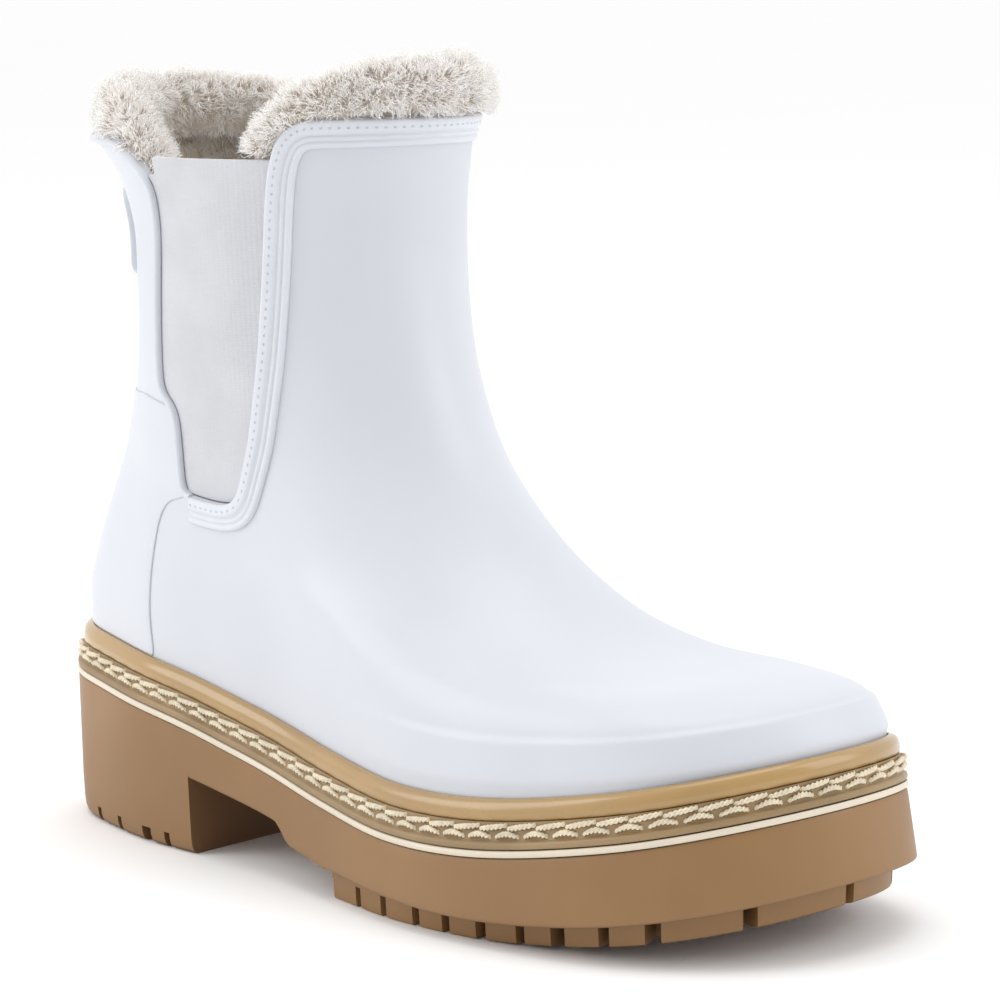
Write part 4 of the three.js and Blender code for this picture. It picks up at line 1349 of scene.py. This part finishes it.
def hair_mesh(name, roots, normal, tip, pull, lengths, thickness, shade, rng, curl, rings=3):
    """Tapering three-sided hairs. Each starts at its root, bends to its tip and curls a little."""
    count = len(roots)
    t = np.linspace(0, 1, rings + 1)
    phase = rng.uniform(0, 2 * math.pi, count)
    side = unit(np.cross(normal, np.roll(rng.normal(size=(count, 3)), 1, axis=0)))
    other = np.cross(normal, side)
    spine = []
    for share in t:
        straight = roots + normal * (lengths * share)[:, None]
        angle = (phase + 4.5 * share)[:, None]
        swing = curl * share * (side * np.cos(angle) + other * np.sin(angle))
        spine.append(mix(straight, tip, share ** 1.6 * pull) + swing)
    corners = []
    for k in range(rings):
        width = thickness * (1.0 - 0.6 * t[k] ** 2)
        for s in range(3):
            angle = 2 * math.pi * s / 3
            corners.append(spine[k] + (side * math.cos(angle) + other * math.sin(angle)) * width)
    corners.append(spine[rings])
    block = np.array(corners).transpose(1, 0, 2)
    per = 3 * rings + 1
    sides = [(3 * k + s, 3 * k + (s + 1) % 3, 3 * k + 3 + (s + 1) % 3, 3 * k + 3 + s)
             for k in range(rings - 1) for s in range(3)]
    last = 3 * (rings - 1)
    ends = [(last + s, last + (s + 1) % 3, 3 * rings) for s in range(3)] + [(0, 2, 1)]
    base = (np.arange(count) * per)[:, None, None]
    all_quads = (np.array(sides)[None] + base).reshape(-1, 4)
    all_tips = (np.array(ends)[None] + base).reshape(-1, 3)
    mesh = bpy.data.meshes.new(name)
    mesh.vertices.add(count * per)
    mesh.vertices.foreach_set("co", placed(block.reshape(-1, 3)).ravel())
    loops = np.concatenate([all_quads.ravel(), all_tips.ravel()])
    starts = np.concatenate([4 * np.arange(len(all_quads)),
                             4 * len(all_quads) + 3 * np.arange(len(all_tips))])
    mesh.loops.add(len(loops))
    mesh.loops.foreach_set("vertex_index", loops.astype(np.int32))
    mesh.polygons.add(len(starts))
    mesh.polygons.foreach_set("loop_start", starts.astype(np.int32))
    mesh.update(calc_edges=True)
    layer = mesh.uv_layers.new(name="UVMap")
    v = np.array([t[k] for k in range(rings) for _ in range(3)] + [1.0])
    uv = np.column_stack([np.repeat(shade, per), np.tile(v, count)])
    layer.data.foreach_set("uv", uv[loops].ravel())
    mesh.polygons.foreach_set("use_smooth", np.ones(len(starts), bool))
    mesh.validate()
    obj = bpy.data.objects.new(name, mesh)
    bpy.context.scene.collection.objects.link(obj)
    return obj


def grow(name, hide, count, length, thickness, clumps, rng, shade_of, keep, pull=0.75, lean=0.35,
         curl=0.5, sag=0.0, clear=None, batch=2000):
    """Hairs on a hide, drawn together into locks. clear tells which tips are free of the shell."""
    heads, head_normal, _ = hide.roots(clumps, rng, keep)
    reach = length * rng.uniform(0.75, 1.25, clumps)
    heading = head_normal + rng.normal(0, lean, (clumps, 3))
    heading[:, 2] -= sag
    lock_tip = heads + unit(heading) * reach[:, None]
    roots, normal, pick = hide.roots(count, rng, keep)
    nearest = np.empty(count, int)
    for start in range(0, count, batch):
        part = roots[start:start + batch]
        nearest[start:start + batch] = ((part[:, None] - heads[None]) ** 2).sum(-1).argmin(1)
    lengths = length * rng.uniform(0.7, 1.15, count)
    spread = rng.normal(0, 0.45, (count, 3))
    tip = lock_tip[nearest] + (roots - heads[nearest]) * 0.35 + spread
    shade = shade_of(pick) * rng.uniform(0.88, 1.08, count)
    if clear:
        free = clear(mix(roots + normal * lengths[:, None], tip, pull), pick)
        roots, normal, tip, lengths, shade = (
            values[free] for values in (roots, normal, tip, lengths, shade))
    return hair_mesh(name, roots, normal, tip, pull, lengths, thickness, shade, rng, curl)


def grow_cuff(which, seed, rows=150, cols=44):
    """The cuff's backing and the two halves of its hairs."""
    cuff = CUFFS[which]
    round_it = np.linspace(0, 2 * math.pi, cols, endpoint=False)
    a, b = np.meshgrid(np.linspace(0, 1, rows), round_it, indexing="ij")
    points = cuff_surface(a, b, cuff)
    bare = Hide(points)
    centre = points.mean(axis=1, keepdims=True)
    outward = ((points - centre) * bare.normal).sum() > 0
    lift = lumps(points, 9.0, seed) * 0.7 + lumps(points, 4.0, seed + 1) * 0.3
    normal = bare.normal if outward else -bare.normal
    swollen = points + normal * ((lift - 0.5) * 4.0)[..., None]
    base = laid_sheet(f"cuff_{which}_hide", swollen, wrap=True,
                      uv=(np.full(cols + 1, 0.5), np.full(rows, 0.6)))
    close_up(base)
    hide = Hide(swollen, flip=not outward)
    hide.normal[[0, -1]] = normal[[0, -1]]
    # Painted shade: crown and lit make hairs darker in the hollows between lumps and on the roll's lower
    # inner side, away from the light.
    crown = lift.ravel()
    outer_side = np.sin(b) > 0.1
    lit = (0.38 + 0.62 * ease(np.maximum(np.cos(b), np.sin(b)), -0.6, 0.35)).ravel()
    keep = np.ones(a.shape)
    keep[[0, -1]] = 0
    keep[(from_opening(points) > 0.5) & outer_side] = 0

    def shade_of(pick):
        return (0.45 + 0.75 * ease(crown[pick], 0.15, 0.6)) * lit[pick]

    def clear(tips, pick):
        behind_web = (tips[:, 2] < GORE_TOP + 0.5) & (tips[:, 0] > GORE_BACK - 1)
        return ~(outer_side.ravel()[pick] & ((from_opening(tips) > 0.6) | behind_web))

    parts = [base]
    for half in range(2):
        rng = np.random.default_rng(seed * 10 + half)
        parts.append(grow(f"cuff_{which}_fur_{half}", hide, sizes().fur_count, sizes().fur_length / MM, 0.15,
                          500, rng, shade_of, keep, pull=0.55, lean=0.45, curl=0.8, sag=0.1, clear=clear))
    return parts


class BOOT_OT_cuffs(bpy.types.Operator):
    """Grows the shearling cuffs at the front and back of the collar"""
    bl_idname = "boot.cuffs"
    bl_label = "Shearling cuffs"

    def execute(self, context):
        light, dark = colours().fur, colours().fur_root
        # Both materials glow a little: painted light in place of the light that passes through the hairs.
        fur = pile_material("shearling", light, dark, 0.11)
        hide = pile_material("shearling_hide", [c * 0.8 for c in light], dark, 0.08)
        for which, seed in (("front", 3), ("back", 7)):
            base, *hairs = grow_cuff(which, seed)
            smooth(base, 180)
            settle(base, hide, "shearling", f"fur_{which}")
            for obj in hairs:
                settle(obj, fur, "shearling")
        return {"FINISHED"}


class BOOT_OT_lining(bpy.types.Operator):
    """Lays the fleece lining and the insole with their pile"""
    bl_idname = "boot.lining"
    bl_label = "Fleece lining"

    def execute(self, context):
        # Painted shade inside the shaft: the lining's colours are dimmed to seven tenths of the cuff's, and
        # its pile is darker in the hollows between lumps; it also glows a little as painted light.
        dark = [c * 0.7 for c in colours().fur_root]
        pile = pile_material("fleece", [c * 0.7 for c in colours().fur], dark, 0.06)
        turns = np.linspace(0, 2 * math.pi, 150, endpoint=False)
        rim = face(np.full(turns.shape, 0.95), turns)[:, 0]
        # The lining's top is low behind the elastic, where the cuffs' ends droop
        cap = BACK_COLLAR - 3 - 14 * ease(rim, 50, 64) + 8 * ease(rim, 68, 74) + 11 * ease(rim, 108, 122)
        level = mix(0.1, level_at(turns, cap)[None], np.linspace(0, 1, 64)[:, None])
        turn = np.broadcast_to(turns, level.shape)
        flat = face(level, turn)
        out = face_normal(level, turn)
        lift = lumps(flat, 6.0, 11)
        points = flat - out * (UPPER_WALL + LINING_GAP + LINING_LUMPS * lift)[..., None]
        lining = laid_sheet("fleece_lining", points[:, ::-1], wrap=True)
        finish_with(lining, "SOLIDIFY", thickness=0.5 * MM, offset=-1.0)
        smooth(lining, 180)
        settle(lining, pile, "fleece")
        hide = Hide(points)
        if ((points.mean(axis=1, keepdims=True) - points) * hide.normal).sum() <= 0:
            hide.normal = -hide.normal
        crown = lift.ravel()
        hairs = grow("lining_pile", hide, 6000, sizes().pile_length / MM + 1.0, 0.17, 700,
                     np.random.default_rng(41), lambda pick: 0.25 + 0.6 * ease(crown[pick], 0.2, 0.75),
                     (level > 0.72) * 1.0, sag=0.2)
        settle(hairs, pile, "fleece")

        turns = np.linspace(0, 2 * math.pi, 120, endpoint=False)
        inset = UPPER_INSET + UPPER_WALL + 6 * GAP
        rows = [sole_ring(turns, inset + extra, lambda x, up=up: seam_height(x) + WELT_FOOT + up)
                for extra, up in ((0, 0), (0, 3.2), (0.5, 4.0))]
        rim = rows[-1]
        middle = rim.copy()
        middle[:, 1] = BALL_WIDTH / 2 * column(OUTLINE, 1, np.clip(rim[:, 0] / SOLE_LENGTH, 0, 1))
        for share in (0.2, 0.4, 0.6, 0.8):
            ring = mix(rim, middle, share)
            ring[:, 2] = seam_height(ring[:, 0]) + WELT_FOOT + 4.0 + 0.8 * lumps(ring, 7.0, 5)
            rows.append(ring)
        sock = laid_sheet("fleece_insole", np.array(rows), wrap=True, capped=True)
        smooth(sock, 60)
        settle(sock, pile, "fleece", "insole")
        return {"FINISHED"}


# Stage

def lamp(name, place, aim, size, energy, colour):
    """A soft box that looks at its aim."""
    light = bpy.data.lights.new(name, "AREA")
    light.shape = "RECTANGLE"
    light.size, light.size_y = size
    light.energy = energy
    light.color = colour
    obj = bpy.data.objects.new(name, light)
    bpy.context.scene.collection.objects.link(obj)
    obj.location = place
    obj.rotation_euler = (Vector(aim) - Vector(place)).to_track_quat("-Z", "Y").to_euler()


class BOOT_OT_stage(bpy.types.Operator):
    """Sets up the floor, the soft lights and the camera"""
    bl_idname = "boot.stage"
    bl_label = "Stage"

    def execute(self, context):
        deselect()
        bpy.ops.mesh.primitive_grid_add(x_subdivisions=12, y_subdivisions=12, size=120, location=(0, 0, 0))
        floor = context.active_object
        floor.name = "pale_floor"
        material, tree, shader, place = blank_material("pale_floor", Roughness=0.9)
        pale, shade = rgba([0.98] * 3), rgba([0.975] * 3)
        tint = shared(tree, "Mottle", place["Object"], pale, shade, 2.0, 0.0)
        wire(tree, shader, Base_Color=tint["Color"])
        floor.data.materials.append(material)

        context.scene.view_settings.view_transform = "Standard"
        world = bpy.data.worlds.new("soft_white") if context.scene.world is None else context.scene.world
        context.scene.world = world
        world.use_nodes = True
        tree = world.node_tree
        background = tree.nodes["Background"]
        background.inputs["Color"].default_value = (1.0, 1.0, 1.0, 1.0)
        sky = tree.nodes.new("ShaderNodeTexCoord")
        towards = node(tree, "ShaderNodeVectorMath", {0: sky.outputs["Generated"], 1: DARK_SIDE},
                       operation="DOT_PRODUCT").outputs["Value"]
        strength = ranged(tree, towards, (0.1, 0.95), (1.1, 0.64), soft=True)
        tree.links.new(strength, background.inputs["Strength"])
        for name, values in LAMPS.items():
            lamp(name, *values)

        data = bpy.data.cameras.new("photo_view")
        data.sensor_fit = "HORIZONTAL"
        data.sensor_width = 36.0
        data.lens = CAMERA_LENS
        data.clip_start, data.clip_end = 0.01, 200.0
        camera = bpy.data.objects.new("photo_view", data)
        context.scene.collection.objects.link(camera)
        right, up = Vector(CAMERA_RIGHT).normalized(), Vector(CAMERA_UP).normalized()
        back = right.cross(up).normalized()
        up = back.cross(right)
        turn = Matrix((right, up, back)).transposed().to_4x4()
        camera.matrix_world = Matrix.Translation(CAMERA_PLACE) @ turn
        context.scene.camera = camera
        return {"FINISHED"}


STEPS = (BOOT_OT_outsole, BOOT_OT_stripe, BOOT_OT_welt, BOOT_OT_rand, BOOT_OT_stitches, BOOT_OT_upper,
         BOOT_OT_counter, BOOT_OT_trim, BOOT_OT_gores, BOOT_OT_lining, BOOT_OT_cuffs, BOOT_OT_stage)


class BOOT_PT_maker(bpy.types.Panel):
    """Sizes, colours and steps of the boot"""
    bl_idname = "BOOT_PT_maker"
    bl_label = "Rain boot"
    bl_space_type = "VIEW_3D"
    bl_region_type = "UI"
    bl_category = "Boot"

    def draw(self, context):
        layout = self.layout
        for group in (context.scene.boot_sizes, context.scene.boot_colours):
            box = layout.box()
            for name in group.__annotations__:
                box.prop(group, name)
        for step in STEPS:
            layout.operator(step.bl_idname)


CLASSES = (BootSizes, BootColours, *STEPS, BOOT_PT_maker)


def register():
    for made in CLASSES:
        bpy.utils.register_class(made)
    bpy.types.Scene.boot_sizes = PointerProperty(type=BootSizes)
    bpy.types.Scene.boot_colours = PointerProperty(type=BootColours)


def unregister():
    del bpy.types.Scene.boot_colours
    del bpy.types.Scene.boot_sizes
    for made in reversed(CLASSES):
        bpy.utils.unregister_class(made)


def main():
    register()
    mottle_group()
    grain_group()
    for step in STEPS:
        getattr(bpy.ops.boot, step.bl_idname.split(".")[1])()


if __name__ == "__main__":
    main()
